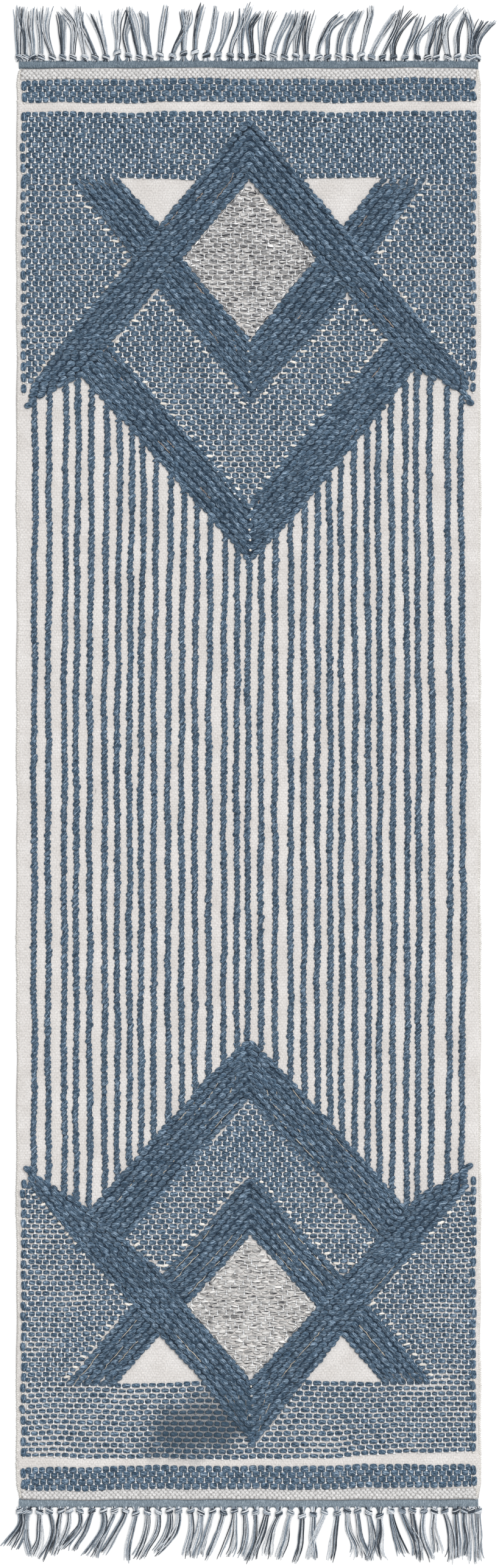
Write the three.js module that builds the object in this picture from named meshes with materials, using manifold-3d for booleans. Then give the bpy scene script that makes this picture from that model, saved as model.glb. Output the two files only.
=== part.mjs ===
// A flatweave wool runner, lying flat: a white cotton and wool cloth with thick
// blue weft fields, raised chevron bands, ribbed stripes and a knotted fringe.
// Millimetres, +Z up. The origin is on the floor under the middle of the rug,
// +X runs across its width and +Y along its length.
import * as THREE from 'three';
import { mergeVertices } from 'three/addons/utils/BufferGeometryUtils.js';
import Module from 'manifold-3d';

const wasm = await Module();
wasm.setup();

// The cloth
const CLOTH_HALF_WIDTH = 380.5;
const CLOTH_HALF_LENGTH = 1174.5;
const CLOTH_TOP = 3.0;
const EDGE_WANDER = 1.3; // how far the selvedge leaves a straight line
const EDGE_STEP = 90; // length between two points of the selvedge
const EMBED = 0.8; // how deep a raised form reaches into the cloth

// The woven forms that stand above the cloth
const MOTIF_CENTRE = 1.0; // the motif sits this far right of the middle
const FIELD_HALF_WIDTH = 368.5;
const FIELD_TOP = 5.2;
const FIELD_END = 1104.5; // outer end of the thick weft field
const FIELD_LAP = 3; // how far two neighbouring fields run into each other
const FOOT_INSET = { x: 18, y: 12 }; // a field's corner, up the arm from its foot
const BORDER_OUTER = 1158;
const BORDER_INNER = 1119.5;
const BEAD_TOP = 3.9;
const BEAD_HALF_WIDTH = 374;
const BEAD_MARGIN = 1; // plain cloth left on each side of the bead weave
const CABLES = 6; // rows of slanted stitches side by side in a band
const CABLE_DEPTH = 1.0; // from the top of a cable to the groove beside it
const ARM_STEPS = 5; // lengths that each arm of a band is laid out in
const RAGGED = 1.1; // unevenness of a band's edge

// The chevron bands of each end. Every arm runs from its apex on the centre line
// to its foot; x is measured from the motif's centre and y from the middle of the
// rug, both towards this end. The knee is where the inner edge turns to its foot.
const BANDS = {
  far: {
    wide: {
      outerApex: 1092, innerApex: 988, outerFoot: [366, 650],
      knee: [258, 668], innerFoot: [371, 620], top: 7.8,
    },
    cut: {
      outerApex: 611, innerApex: 735, outerFoot: [296, 998],
      innerFoot: [216, 998], top: 6.7,
    },
    long: {
      outerApex: 363, innerApex: 466, outerFoot: [294, 694],
      innerFoot: [238, 744], top: 6.7,
    },
  },
  near: {
    wide: {
      outerApex: 1087, innerApex: 980, outerFoot: [366, 655],
      knee: [260, 692], innerFoot: [369, 631], top: 7.8,
    },
    cut: {
      outerApex: 637, innerApex: 739, outerFoot: [303, 987],
      innerFoot: [217, 985], top: 6.7,
    },
    long: {
      outerApex: 417, innerApex: 519, outerFoot: [286, 722],
      innerFoot: [222, 770], top: 6.7,
    },
  },
};

// The ribbed stripes: even pitch, with a little more or less white after some
const STRIPE_COUNT = 33;
const STRIPE_FIRST_X = -352;
const STRIPE_PITCH = 22;
const STRIPE_FOOT = 10.4; // width at the cloth
const STRIPE_CREST = 5.6; // width of its flat crest
const STRIPE_TOP = 6.1;
const STRIPE_STEP = 260; // length between two sections of a stripe
const STRIPE_SHOULDER = 0.4; // from the cloth up to the foot of its flank
const STRIPE_LIFT = 0.25; // unevenness of the crest's height
const STRIPE_WANDER = 0.9;
const STRIPE_DRAW = { sideways: 4.5, centre: -160, half: 500, from: 250, over: 350 };
const STRIPE_LAP = 14; // how far a stripe runs under the band at its end
const STRIPE_SPACING = [
  { after: 1, extra: 1 }, { after: 2, extra: 4.5 },
  { after: 3, extra: -2.5 }, { after: 5, extra: 2.5 },
  { after: 6, extra: -1 }, { after: 7, extra: -2 },
  { after: 8, extra: -3 }, { after: 9, extra: -1 },
  { after: 10, extra: 1.5 }, { after: 13, extra: 1 },
  { after: 14, extra: 2.5 }, { after: 15, extra: -1 },
  { after: 16, extra: -3.5 }, { after: 17, extra: -1 },
  { after: 18, extra: 1.5 }, { after: 19, extra: 3.5 },
  { after: 22, extra: -1 }, { after: 23, extra: -3 },
  { after: 26, extra: -3.5 }, { after: 28, extra: 1 },
  { after: 29, extra: -3 }, { after: 31, extra: 7 },
];

// The heading strip and its knotted tassels
const STRIP_GAP = 0.3; // between the strip and the cloth
const STRIP_TOP = 2.6;
const STRIP_OUTER = 1192;
const STRIP_HALF_WIDTH = 377;
const KNOT_FIRST_X = -374;
const KNOT_PITCH = 17.35;
const KNOT_JITTER = 1.4;
const KNOT_Y = 1195.5;
const KNOT_PUSH = 6.5; // a few knots sit this much further out
const KNOT_HALF = { x: 6.6, y: 6.0 };
const KNOT_SIDES = 5;
const KNOT_RINGS = [
  { z: 0, size: 0.8 },
  { z: 3.2, size: 1 },
  { z: 6.6, size: 0.5 },
];
const HUMP_HALF = 4.6; // half width of the strip's hump behind such a knot
const LOCKS = 2; // locks of yarn in a tassel
const LOCK_BASE = 3.8; // width of a lock on the floor
const LOCK_HEIGHT = 2.8;
const LOCK_SLIM = 0.55; // a lock's size at its tip, as a share of the size at its root
const LOCK_CLEAR = 0.7; // room left between two locks
const LOCK_STATIONS = [0, 0.24, 0.55, 1];
const LOCK_ROOT = 1197;
const LOCK_TIP = 1272;
const LOCK_UNEVEN = 8; // locks end this much shorter or longer
const LOCK_SWAY = 5; // sideways wave of a lock
const TASSEL_SPREAD = [0.3, 0.55, 0.85, 1]; // how far the locks fan out by station
const TASSEL_FAN = 6.4; // between two locks at the tip
const LEAN_CURVE = 1.3; // a tassel leans more towards its tip
const LEAN_UNEVEN = 3;
const PUSHED_ABOVE = 0.55; // knots whose uneven number is above this are pushed out

// Which way the tassels lie, from left to right along the far end
const TASSEL_RUNS = [
  { tassels: 6, lean: -5 },
  { tassels: 2, lean: -11 },
  { tassels: 2, lean: -22 },
  { tassels: 2, lean: 5 },
  { tassels: 2, lean: -16 },
  { tassels: 2, lean: 19 },
  { tassels: 1, lean: 2 },
  { tassels: 5, lean: 17 },
  { tassels: 2, lean: 9 },
  { tassels: 4, lean: 18 },
  { tassels: 5, lean: 24 },
  { tassels: 6, lean: 30 },
  { tassels: 5, lean: 12 },
];

// A repeatable uneven number between -1 and 1 for a whole number or a pair of them
const uneven = (n, m = 0) => {
  const s = Math.sin(n * 127.1 + m * 311.7 + 11.7) * 43758.5453;
  return 2 * (s - Math.floor(s)) - 1;
};

const between = (a, b, t) => a + (b - a) * t;

// A point part of the way along a broken line, t from 0 to 1 by its length
function along(points, t) {
  const lengths = points.slice(1)
    .map(([x, y], i) => Math.hypot(x - points[i][0], y - points[i][1]));
  let left = t * lengths.reduce((sum, l) => sum + l, 0);
  let i = 0;
  while (i < lengths.length - 1 && left > lengths[i]) {
    left -= lengths[i];
    i += 1;
  }
  const share = left / lengths[i];
  return [between(points[i][0], points[i + 1][0], share), between(points[i][1], points[i + 1][1], share)];
}

function solidOf(positions, indices) {
  const mesh = new wasm.Mesh({
    numProp: 3,
    vertProperties: new Float32Array(positions),
    triVerts: new Uint32Array(indices),
  });
  return new wasm.Manifold(mesh);
}

// A flat plate with the given outline, from one height to another
function plate(outline, low, high) {
  const shape = new THREE.Shape(outline.map(([x, y]) => new THREE.Vector2(x, y)));
  const raw = new THREE.ExtrudeGeometry(shape, { depth: high - low, bevelEnabled: false });
  raw.deleteAttribute('normal');
  raw.deleteAttribute('uv');
  raw.translate(0, 0, low);
  const geometry = mergeVertices(raw);
  return solidOf(geometry.attributes.position.array, geometry.index.array);
}

// A closed block under a grid of top points, with upright walls down to a flat base
function block(rows, base) {
  const count = rows.length;
  const width = rows[0].length;
  const positions = [];
  rows.forEach((row) => row.forEach(([x, y, z]) => positions.push(x, y, z)));
  rows.forEach((row) => row.forEach(([x, y]) => positions.push(x, y, base)));
  const top = (i, j) => i * width + j;
  const low = (i, j) => (count + i) * width + j;
  const indices = [];
  const quad = (a, b, c, d) => indices.push(a, b, c, a, c, d);
  for (let i = 0; i < count - 1; i += 1) {
    for (let j = 0; j < width - 1; j += 1) {
      quad(top(i, j), top(i + 1, j), top(i + 1, j + 1), top(i, j + 1));
      quad(low(i, j), low(i, j + 1), low(i + 1, j + 1), low(i + 1, j));
    }
    quad(top(i, 0), low(i, 0), low(i + 1, 0), top(i + 1, 0));
    quad(top(i, width - 1), top(i + 1, width - 1), low(i + 1, width - 1), low(i, width - 1));
  }
  for (let j = 0; j < width - 1; j += 1) {
    quad(top(0, j), top(0, j + 1), low(0, j + 1), low(0, j));
    quad(top(count - 1, j), low(count - 1, j), low(count - 1, j + 1), top(count - 1, j + 1));
  }
  const solid = solidOf(positions, indices);
  if (solid.volume() < 0) throw new Error('a block is inside out');
  return solid;
}

const join = (solids) => solids.reduce((sum, next) => sum.add(next));

// The cloth's side line: nearly straight, as the weaver's selvedge is
function selvedge(side) {
  const steps = Math.round((2 * CLOTH_HALF_LENGTH) / EDGE_STEP);
  return Array.from({ length: steps + 1 }, (_, i) => {
    const y = between(-CLOTH_HALF_LENGTH, CLOTH_HALF_LENGTH, i / steps);
    return [side * (CLOTH_HALF_WIDTH + EDGE_WANDER * uneven(i, side)), y];
  });
}

// The plain cloth, one plate with uneven sides
function ground() {
  return plate([...selvedge(1), ...selvedge(-1).reverse()], 0, CLOTH_TOP);
}

// The two edges of a band's arm, each from its apex to its foot
function edges(band) {
  const outer = [[0, band.outerApex], band.outerFoot];
  const inner = [[0, band.innerApex], ...(band.knee ? [band.knee] : []), band.innerFoot];
  return { outer, inner };
}

// One chevron band: cables side by side from the left foot over the apex to the
// right foot, each a ridge between two grooves
function chevron(band, end) {
  const { outer, inner } = edges(band);
  const rows = [];
  for (let i = -ARM_STEPS; i <= ARM_STEPS; i += 1) {
    const t = Math.abs(i) / ARM_STEPS;
    const side = Math.sign(i);
    const [ox, oy] = along(outer, t);
    const [ix, iy] = along(inner, t);
    const row = [];
    for (let j = 0; j <= 2 * CABLES; j += 1) {
      const share = j / (2 * CABLES);
      const rim = j === 0 || j === 2 * CABLES;
      const drift = RAGGED * uneven(i + 40, j + band.outerApex);
      const x = between(ox, ix, share) + (side === 0 ? 0 : drift);
      const y = between(oy, iy, share) + drift;
      const z = band.top - (j % 2 === 0 ? CABLE_DEPTH : 0) - (rim ? CABLE_DEPTH : 0);
      row.push([MOTIF_CENTRE + side * x, end * y, z]);
    }
    rows.push(row);
  }
  const turned = end * Math.sign(band.outerApex - band.innerApex) < 0;
  return block(turned ? rows : rows.reverse(), CLOTH_TOP - EMBED);
}

// The middle line of a band's arm, and where two such lines meet
const middle = (band) => {
  const { outer, inner } = edges(band);
  const foot = (t) => [0, 1].map((k) => (along(outer, t)[k] + along(inner, t)[k]) / 2);
  return [foot(0), foot(1)];
};

function meeting(first, second) {
  const [a, b] = middle(first);
  const [c, d] = middle(second);
  const run = [b[0] - a[0], b[1] - a[1]];
  const other = [d[0] - c[0], d[1] - c[1]];
  const det = run[0] * other[1] - run[1] * other[0];
  const t = ((c[0] - a[0]) * other[1] - (c[1] - a[1]) * other[0]) / det;
  return [a[0] + t * run[0], a[1] + t * run[1]];
}

// The thick weft fields of one end. Their slanting sides lie under the bands.
function fields({ wide, cut, long }, end) {
  const at = ([x, y], side) => [MOTIF_CENTRE + side * x, end * y];
  const mirrored = (points) => [
    ...points.map((p) => at(p, 1)),
    ...points.slice(1, -1).reverse().map((p) => at(p, -1)),
  ];
  const crossing = meeting(wide, cut);
  const [footX, footY] = middle(wide)[1];
  const gate = cut.outerFoot[1];
  const rim = FIELD_HALF_WIDTH;
  const band = (low, high, half) => [[-half, low], [half, low], [half, high], [-half, high]]
    .map(([x, y]) => [x, end * y]);
  const side = (s) => [
    [s * rim, end * (gate + FIELD_LAP)],
    at([middle(cut)[1][0], gate + FIELD_LAP], s),
    at(crossing, s),
    at([footX - FOOT_INSET.x, footY + FOOT_INSET.y], s),
    [s * rim, end * (wide.outerFoot[1] + FIELD_LAP)],
  ];
  const outlines = [
    band(gate, FIELD_END, rim),
    band(BORDER_INNER, BORDER_OUTER, rim),
    side(1),
    side(-1),
    mirrored([middle(wide)[0], crossing, middle(cut)[0]]),
    mirrored([middle(cut)[0], crossing, meeting(wide, long), middle(long)[0]]),
  ];
  const beads = band(BORDER_OUTER + BEAD_MARGIN, CLOTH_HALF_LENGTH - BEAD_MARGIN, BEAD_HALF_WIDTH);
  return [
    ...outlines.map((outline) => plate(outline, CLOTH_TOP - EMBED, FIELD_TOP)),
    plate(beads, CLOTH_TOP - EMBED, BEAD_TOP),
  ];
}

// How far from the middle of the rug a stripe at x ends, under the bands
function stripeEnd(x, { wide, long }) {
  const off = Math.abs(x - MOTIF_CENTRE);
  const [kneeX, kneeY] = wide.knee;
  if (off > kneeX) {
    const share = (off - kneeX) / (wide.innerFoot[0] - kneeX);
    return between(kneeY, wide.innerFoot[1], share) + STRIPE_LAP / 2;
  }
  const share = off / long.outerFoot[0];
  return between(long.outerApex, long.outerFoot[1], share) + STRIPE_LAP;
}

// How far the beat of the far bands draws a stripe sideways, growing towards them
function drawn(x, y) {
  const { sideways, centre, half, from, over } = STRIPE_DRAW;
  const grown = Math.min(1, Math.max(0, (y - from) / over));
  return sideways * grown * Math.cos((Math.PI * (x - centre)) / half);
}

// One ribbed stripe: a low ridge with a flat crest that wanders a little
function stripe(x, index) {
  const low = -stripeEnd(x, BANDS.near);
  const high = stripeEnd(x, BANDS.far);
  const steps = Math.max(4, Math.round((high - low) / STRIPE_STEP));
  const rows = Array.from({ length: steps + 1 }, (_, i) => {
    const y = between(low, high, i / steps);
    const middleX = x + drawn(x, y) + STRIPE_WANDER * uneven(i, index);
    const lift = STRIPE_LIFT * uneven(index, i);
    return [
      [middleX - STRIPE_FOOT / 2, y, CLOTH_TOP + STRIPE_SHOULDER],
      [middleX - STRIPE_CREST / 2, y, STRIPE_TOP + lift],
      [middleX + STRIPE_CREST / 2, y, STRIPE_TOP + lift],
      [middleX + STRIPE_FOOT / 2, y, CLOTH_TOP + STRIPE_SHOULDER],
    ];
  });
  return block(rows.reverse(), CLOTH_TOP - EMBED);
}

function stripes() {
  let x = STRIPE_FIRST_X;
  return Array.from({ length: STRIPE_COUNT }, (_, i) => {
    const solid = stripe(x, i);
    const spacing = STRIPE_SPACING.find(({ after }) => after === i + 1);
    x += STRIPE_PITCH + (spacing ? spacing.extra : 0);
    return solid;
  });
}

function rug() {
  return join([
    ground(),
    ...[['far', 1], ['near', -1]].flatMap(([name, end]) => [
      ...Object.values(BANDS[name]).map((band) => chevron(band, end)),
      ...fields(BANDS[name], end),
    ]),
    ...stripes(),
  ]);
}

// Every tassel of the far end: its knot's place and which way it leans
function tassels() {
  const leans = TASSEL_RUNS.flatMap(({ tassels: count, lean }) => Array(count).fill(lean));
  return leans.map((lean, i) => ({
    x: KNOT_FIRST_X + KNOT_PITCH * i + KNOT_JITTER * uneven(i, 3),
    y: KNOT_Y + (uneven(i, 5) > PUSHED_ABOVE ? KNOT_PUSH : 0),
    lean: lean + LEAN_UNEVEN * uneven(i, 7),
  }));
}

// The strip that heads the fringe, with a hump behind each knot that sits further out
function strip(heads) {
  const inner = CLOTH_HALF_LENGTH + STRIP_GAP;
  const humps = heads.filter(({ y }) => y > KNOT_Y).flatMap(({ x, y }) => [
    [x - HUMP_HALF, STRIP_OUTER],
    [x, y],
    [x + HUMP_HALF, STRIP_OUTER],
  ]);
  const edge = humps.filter(([x]) => Math.abs(x) < STRIP_HALF_WIDTH);
  const outline = [
    [STRIP_HALF_WIDTH, inner],
    [STRIP_HALF_WIDTH, STRIP_OUTER],
    ...edge.reverse(),
    [-STRIP_HALF_WIDTH, STRIP_OUTER],
    [-STRIP_HALF_WIDTH, inner],
  ];
  return plate(outline, 0, STRIP_TOP);
}

// A knot: a squat bead with a flat base on the floor
function knot({ x, y }) {
  const positions = [];
  const indices = [];
  const last = KNOT_RINGS.length - 1;
  KNOT_RINGS.forEach(({ z, size }) => {
    for (let k = 0; k < KNOT_SIDES; k += 1) {
      const a = (2 * Math.PI * k) / KNOT_SIDES;
      positions.push(x + size * KNOT_HALF.x * Math.cos(a), y + size * KNOT_HALF.y * Math.sin(a), z);
    }
  });
  for (let r = 0; r < last; r += 1) {
    for (let k = 0; k < KNOT_SIDES; k += 1) {
      const next = (k + 1) % KNOT_SIDES;
      const a = r * KNOT_SIDES + k;
      const b = r * KNOT_SIDES + next;
      indices.push(a, b, b + KNOT_SIDES, a, b + KNOT_SIDES, a + KNOT_SIDES);
    }
  }
  for (let k = 1; k < KNOT_SIDES - 1; k += 1) {
    const crown = last * KNOT_SIDES;
    indices.push(0, k + 1, k, crown, crown + k, crown + k + 1);
  }
  return solidOf(positions, indices);
}

// One lock: a three-sided strand that lies flat on the floor
function lock(path) {
  const positions = [];
  const indices = [];
  path.forEach(([x, y], i) => {
    const slim = i === path.length - 1 ? LOCK_SLIM : 1;
    const half = (LOCK_BASE / 2) * slim;
    positions.push(x - half, y, 0, x + half, y, 0, x, y, LOCK_HEIGHT * slim);
  });
  for (let i = 0; i < path.length - 1; i += 1) {
    const a = 3 * i;
    [[0, 1], [1, 2], [2, 0]].forEach(([p, q]) => {
      indices.push(a + p, a + q + 3, a + q, a + p, a + p + 3, a + q + 3);
    });
  }
  const end = 3 * (path.length - 1);
  indices.push(0, 1, 2, end, end + 2, end + 1);
  return solidOf(positions, indices);
}

// The paths of all locks of one end, kept apart from left to right at every station
function lockPaths(heads) {
  const lines = heads.flatMap((head, i) => Array.from({ length: LOCKS }, (_, k) => {
    const tip = LOCK_TIP + LOCK_UNEVEN * uneven(i, k + 11);
    const sway = LOCK_SWAY * uneven(i, k + 17);
    return LOCK_STATIONS.map((t, s) => [
      head.x + head.lean * t ** LEAN_CURVE + sway * Math.sin(Math.PI * t)
        + (k - (LOCKS - 1) / 2) * TASSEL_SPREAD[s] * TASSEL_FAN,
      between(head.y + LOCK_ROOT - KNOT_Y, tip, t),
    ]);
  }));
  LOCK_STATIONS.forEach((_, s) => {
    for (let i = 1; s > 0 && i < lines.length; i += 1) {
      lines[i][s][0] = Math.max(lines[i][s][0], lines[i - 1][s][0] + LOCK_BASE + LOCK_CLEAR);
    }
  });
  return lines;
}

function fringe() {
  const heads = tassels();
  return join([strip(heads), ...heads.map(knot), ...lockPaths(heads).map(lock)]);
}

// A finished solid as a named mesh with its own finish
function meshOf(solid, name, finish) {
  const { vertProperties, triVerts, numProp } = solid.getMesh();
  const positions = new Float32Array((vertProperties.length / numProp) * 3);
  for (let i = 0; i < positions.length / 3; i += 1) {
    positions.set(vertProperties.subarray(i * numProp, i * numProp + 3), 3 * i);
  }
  const geometry = new THREE.BufferGeometry();
  geometry.setAttribute('position', new THREE.BufferAttribute(positions, 3));
  geometry.setIndex(new THREE.BufferAttribute(new Uint32Array(triVerts), 1));
  geometry.computeVertexNormals();
  const mesh = new THREE.Mesh(geometry, new THREE.MeshStandardMaterial(finish));
  mesh.name = name;
  return mesh;
}

const WOOL = { color: 0x5d7590, roughness: 0.95, metalness: 0 };
const GREY_COTTON = { color: 0x8793a0, roughness: 0.9, metalness: 0 };

const group = new THREE.Group();
group.add(meshOf(rug(), 'rug_cloth', WOOL));

const farFringe = meshOf(fringe(), 'fringe_far', GREY_COTTON);
group.add(farFringe);

// The near fringe is the far one turned half a turn on the floor
const nearFringe = meshOf(fringe(), 'fringe_near', GREY_COTTON);
nearFringe.rotation.z = Math.PI;
group.add(nearFringe);

export default group;
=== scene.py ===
# %% [markdown]
# # A flatweave wool runner
# This lesson dresses a long hand-woven rug that lies on a pale studio floor. The
# real rug is a thin white cloth. Thick blue wool is woven into it as fields of
# short stitches, laid over it as raised chevron bands, and wrapped round its
# warps as ribbed stripes. A strip of grey-blue tape and knotted tassels finish
# each end. Every stitch here is its own small closed surface, because on a rug
# like this the stitches are the shape, and a bump pattern alone looks flat.

# %% Start
import math

import bpy
import numpy as np
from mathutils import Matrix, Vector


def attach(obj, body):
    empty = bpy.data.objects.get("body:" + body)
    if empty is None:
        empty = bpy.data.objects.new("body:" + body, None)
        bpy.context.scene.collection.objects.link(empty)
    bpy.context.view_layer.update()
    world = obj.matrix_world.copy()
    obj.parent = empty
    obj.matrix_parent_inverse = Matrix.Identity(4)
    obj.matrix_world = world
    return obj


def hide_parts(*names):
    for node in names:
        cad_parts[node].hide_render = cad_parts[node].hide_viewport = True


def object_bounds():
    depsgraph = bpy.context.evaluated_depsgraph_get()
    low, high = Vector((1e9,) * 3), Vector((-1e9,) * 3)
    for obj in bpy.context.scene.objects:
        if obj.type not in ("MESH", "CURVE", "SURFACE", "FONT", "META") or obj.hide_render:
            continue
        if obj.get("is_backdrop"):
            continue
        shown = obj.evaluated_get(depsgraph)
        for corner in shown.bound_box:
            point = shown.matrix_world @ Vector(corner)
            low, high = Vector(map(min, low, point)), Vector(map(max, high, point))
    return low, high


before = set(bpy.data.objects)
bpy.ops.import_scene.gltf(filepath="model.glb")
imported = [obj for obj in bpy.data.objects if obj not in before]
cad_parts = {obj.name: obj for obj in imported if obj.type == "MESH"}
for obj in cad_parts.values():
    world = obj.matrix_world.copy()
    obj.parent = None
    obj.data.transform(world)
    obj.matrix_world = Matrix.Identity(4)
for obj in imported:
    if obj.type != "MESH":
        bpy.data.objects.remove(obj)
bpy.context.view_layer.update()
MM = 0.001
ENDS = ("far", "near")
END_SIGN = {"far": 1, "near": -1}
chance = np.random.default_rng(23)


def stray(size, shape):
    """Uneven numbers round zero, mostly smaller than size: no two stitches are alike."""
    return size * chance.standard_normal(shape)


# %% [markdown]
# ## Camera
# The photograph looks straight down, so long that both ends show without any
# lean. A 100 mm lens seven metres above the rug gives the same calm view: one
# pixel of the photograph is one millimetre on the cloth.

# %% Camera
SPAN_ALONG = 2576  # millimetres of floor that the long side of the picture shows
VIEW_MIDDLE_X = 1.5
CLOTH_MEAN_TOP = 4
LENS, SENSOR = 100, 36  # in millimetres
SEES_TO = 60  # in metres

eye = bpy.data.cameras.new("overhead_eye")
eye.lens, eye.sensor_width, eye.clip_end = LENS, SENSOR, SEES_TO
stand = bpy.data.objects.new("overhead_stand", eye)
stand.location = (VIEW_MIDDLE_X * MM, 0, SPAN_ALONG * MM * LENS / SENSOR + CLOTH_MEAN_TOP * MM)
bpy.context.scene.collection.objects.link(stand)
bpy.context.scene.camera = stand
print("camera height in m:", round(stand.location.z, 3))

# %% [markdown]
# ## Meshes from arrays
# Nearly everything below is yarn, so three helpers are enough. One closes a tube
# of rings with a pole at each end, one lays thousands of short stitches, and one
# carries a round section along a path. They work on whole arrays, and each point
# remembers where it lies on its yarn: how far along, how far round, and a number
# that tells one stitch from the next. The wool finish reads that.


# %% Closed tubes
def tube_faces(rings, sides):
    """Faces of one tube: a pole, rings of points, a pole. Returns quads and triangles."""
    r, s = np.meshgrid(np.arange(rings - 1), np.arange(sides), indexing="ij")
    here, beside = 1 + r * sides + s, 1 + r * sides + (s + 1) % sides
    quads = np.stack([here, beside, beside + sides, here + sides], -1).reshape(-1, 4)
    s = np.arange(sides)
    last = 1 + (rings - 1) * sides
    first_cap = np.stack([np.zeros(sides, int), 1 + (s + 1) % sides, 1 + s], -1)
    last_cap = np.stack([np.full(sides, last + sides), last + s, last + (s + 1) % sides], -1)
    return quads, np.concatenate([first_cap, last_cap])


def many(faces, count, points_each):
    """The same faces again for each of count copies, with their numbers moved on."""
    return (faces[None] + points_each * np.arange(count)[:, None, None]).reshape(-1, faces.shape[1])


# %% Stitches
BELLY = 0.6  # depth of a stitch's underside, as a share of its top's height
ROUND_REACH = 0.8  # way round a stitch, as a share of its half width for each radian


def unit_stitch(rings, sides, blunt):
    """A bean along x from -1 to 1. Its half width at u is the root of 1 - |u|^blunt."""
    u = np.sin(np.linspace(-1, 1, rings + 2)[1:-1] * math.pi / 2)
    turn = np.arange(sides) * 2 * math.pi / sides - math.pi / 2
    u, turn = (g.ravel() for g in np.meshgrid(u, turn, indexing="ij"))
    swell = np.sqrt(1 - np.abs(u) ** blunt)
    widest = np.abs(np.cos(turn)).max()
    pole = lambda middle, a, b: np.concatenate([[a], middle, [b]])
    return {
        "along": pole(u, -1, 1),
        "across": pole(swell * np.cos(turn) / widest, 0, 0),
        "up": pole(swell * np.sin(turn), 0, 0),
        "round": pole(turn - math.pi / 2, 0, 0),
        "faces": tube_faces(rings, sides),
    }


def lay(shape, x, y, z, length, width, height, turn=0, arch=0, rise=0, taper=0, tone=None):
    """Stitches in mm: the unit bean is stretched, made fatter at one end by taper, its ends
    dipped by arch, tipped by rise, turned about the upright and set down at its centre."""
    count = len(x)
    tone = chance.random(count) if tone is None else tone
    x, y, z, length, width, height, turn, arch, rise, taper, tone = (
        np.broadcast_to(np.asarray(v, float), (count,))[:, None]
        for v in (x, y, z, length, width, height, turn, arch, rise, taper, tone)
    )
    u, up = shape["along"][None], shape["up"][None]
    fat = 1 + taper * u
    run = u * length / 2
    side = shape["across"][None] * width / 2 * fat
    lift = np.where(up < 0, BELLY, 1) * up * height / 2 * fat - arch * u**2 + rise * u
    points = np.stack([
        x + run * np.cos(turn) - side * np.sin(turn),
        y + run * np.sin(turn) + side * np.cos(turn),
        z + lift,
    ], -1)
    around = shape["round"][None] * width / 2 * ROUND_REACH
    yarn = np.stack([run + 0 * tone, around, tone + 0 * run], -1)
    quads, caps = (many(f, count, len(u[0])) for f in shape["faces"])
    return points.reshape(-1, 3), quads, caps, yarn.reshape(-1, 3)


# %% Strands
def spin(paths, radius, sides=4, flat=1.0, tone=None):
    """Tubes along paths of shape (count, steps, 3): each ring stands square to its path,
    its half width is the radius and its half height the radius times flat."""
    count, steps, _ = paths.shape
    tone = chance.random(count) if tone is None else tone
    radius = np.broadcast_to(radius, (count, steps))
    ahead = np.gradient(paths, axis=1)
    ahead /= np.linalg.norm(ahead, axis=2, keepdims=True)
    side = np.cross(np.broadcast_to((0, 0, 1), paths.shape), ahead)
    side /= np.maximum(np.linalg.norm(side, axis=2, keepdims=True), 1e-6)
    up = np.cross(ahead, side)
    turn = np.arange(sides) * 2 * math.pi / sides - math.pi / 2
    ring = (
        paths[:, :, None]
        + radius[..., None, None] * np.cos(turn)[:, None] * side[:, :, None]
        + radius[..., None, None] * flat * np.sin(turn)[:, None] * up[:, :, None]
    )
    tip = lambda i, way: (paths[:, i] + way * 0.5 * radius[:, i, None] * ahead[:, i])[:, None]
    points = np.concatenate([tip(0, -1), ring.reshape(count, -1, 3), tip(-1, 1)], 1)
    step = np.linalg.norm(np.diff(paths, axis=1), axis=2)
    run = np.concatenate([np.zeros((count, 1)), np.cumsum(step, 1)], 1)
    around = (turn - math.pi / 2)[None, None] * radius[..., None]
    rings = np.stack(np.broadcast_arrays(run[..., None], around, tone[:, None, None]), -1)
    nothing = 0 * run[:, [0, -1]]
    poles = np.stack([run[:, [0, -1]], nothing, nothing + tone[:, None]], -1)
    yarn = np.concatenate([poles[:, :1], rings.reshape(count, -1, 3), poles[:, 1:]], 1)
    quads, caps = (many(f, count, points.shape[1]) for f in tube_faces(steps, sides))
    return points.reshape(-1, 3), quads, caps, yarn.reshape(-1, 3)


# %% Closed cloths
QUILT_TONE = 0.5


def quilt(top, low):
    """A closed cloth between two grids of points of the same size: one faces up, the other
    down, and a strip of faces joins their rims. Its yarn place is its place on the floor."""
    rows, columns, _ = top.shape
    number = np.arange(rows * columns).reshape(rows, columns)
    under = number + rows * columns
    cell = lambda g: (g[:-1, :-1], g[:-1, 1:], g[1:, 1:], g[1:, :-1])
    a, b, c, d = cell(number)
    e, f, g, h = cell(under)
    walls = [
        (number[0, :-1], under[0, :-1], under[0, 1:], number[0, 1:]),
        (number[-1, :-1], number[-1, 1:], under[-1, 1:], under[-1, :-1]),
        (number[:-1, 0], number[1:, 0], under[1:, 0], under[:-1, 0]),
        (number[:-1, -1], under[:-1, -1], under[1:, -1], number[1:, -1]),
    ]
    faces = [(a, b, c, d), (e, h, g, f), *walls]
    quads = np.concatenate([np.stack([q.ravel() for q in face], -1) for face in faces])
    points = np.concatenate([top.reshape(-1, 3), low.reshape(-1, 3)])
    yarn = np.stack([points[:, 0], points[:, 1], np.full(len(points), QUILT_TONE)], -1)
    return points, quads, np.zeros((0, 3), int), yarn


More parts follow.
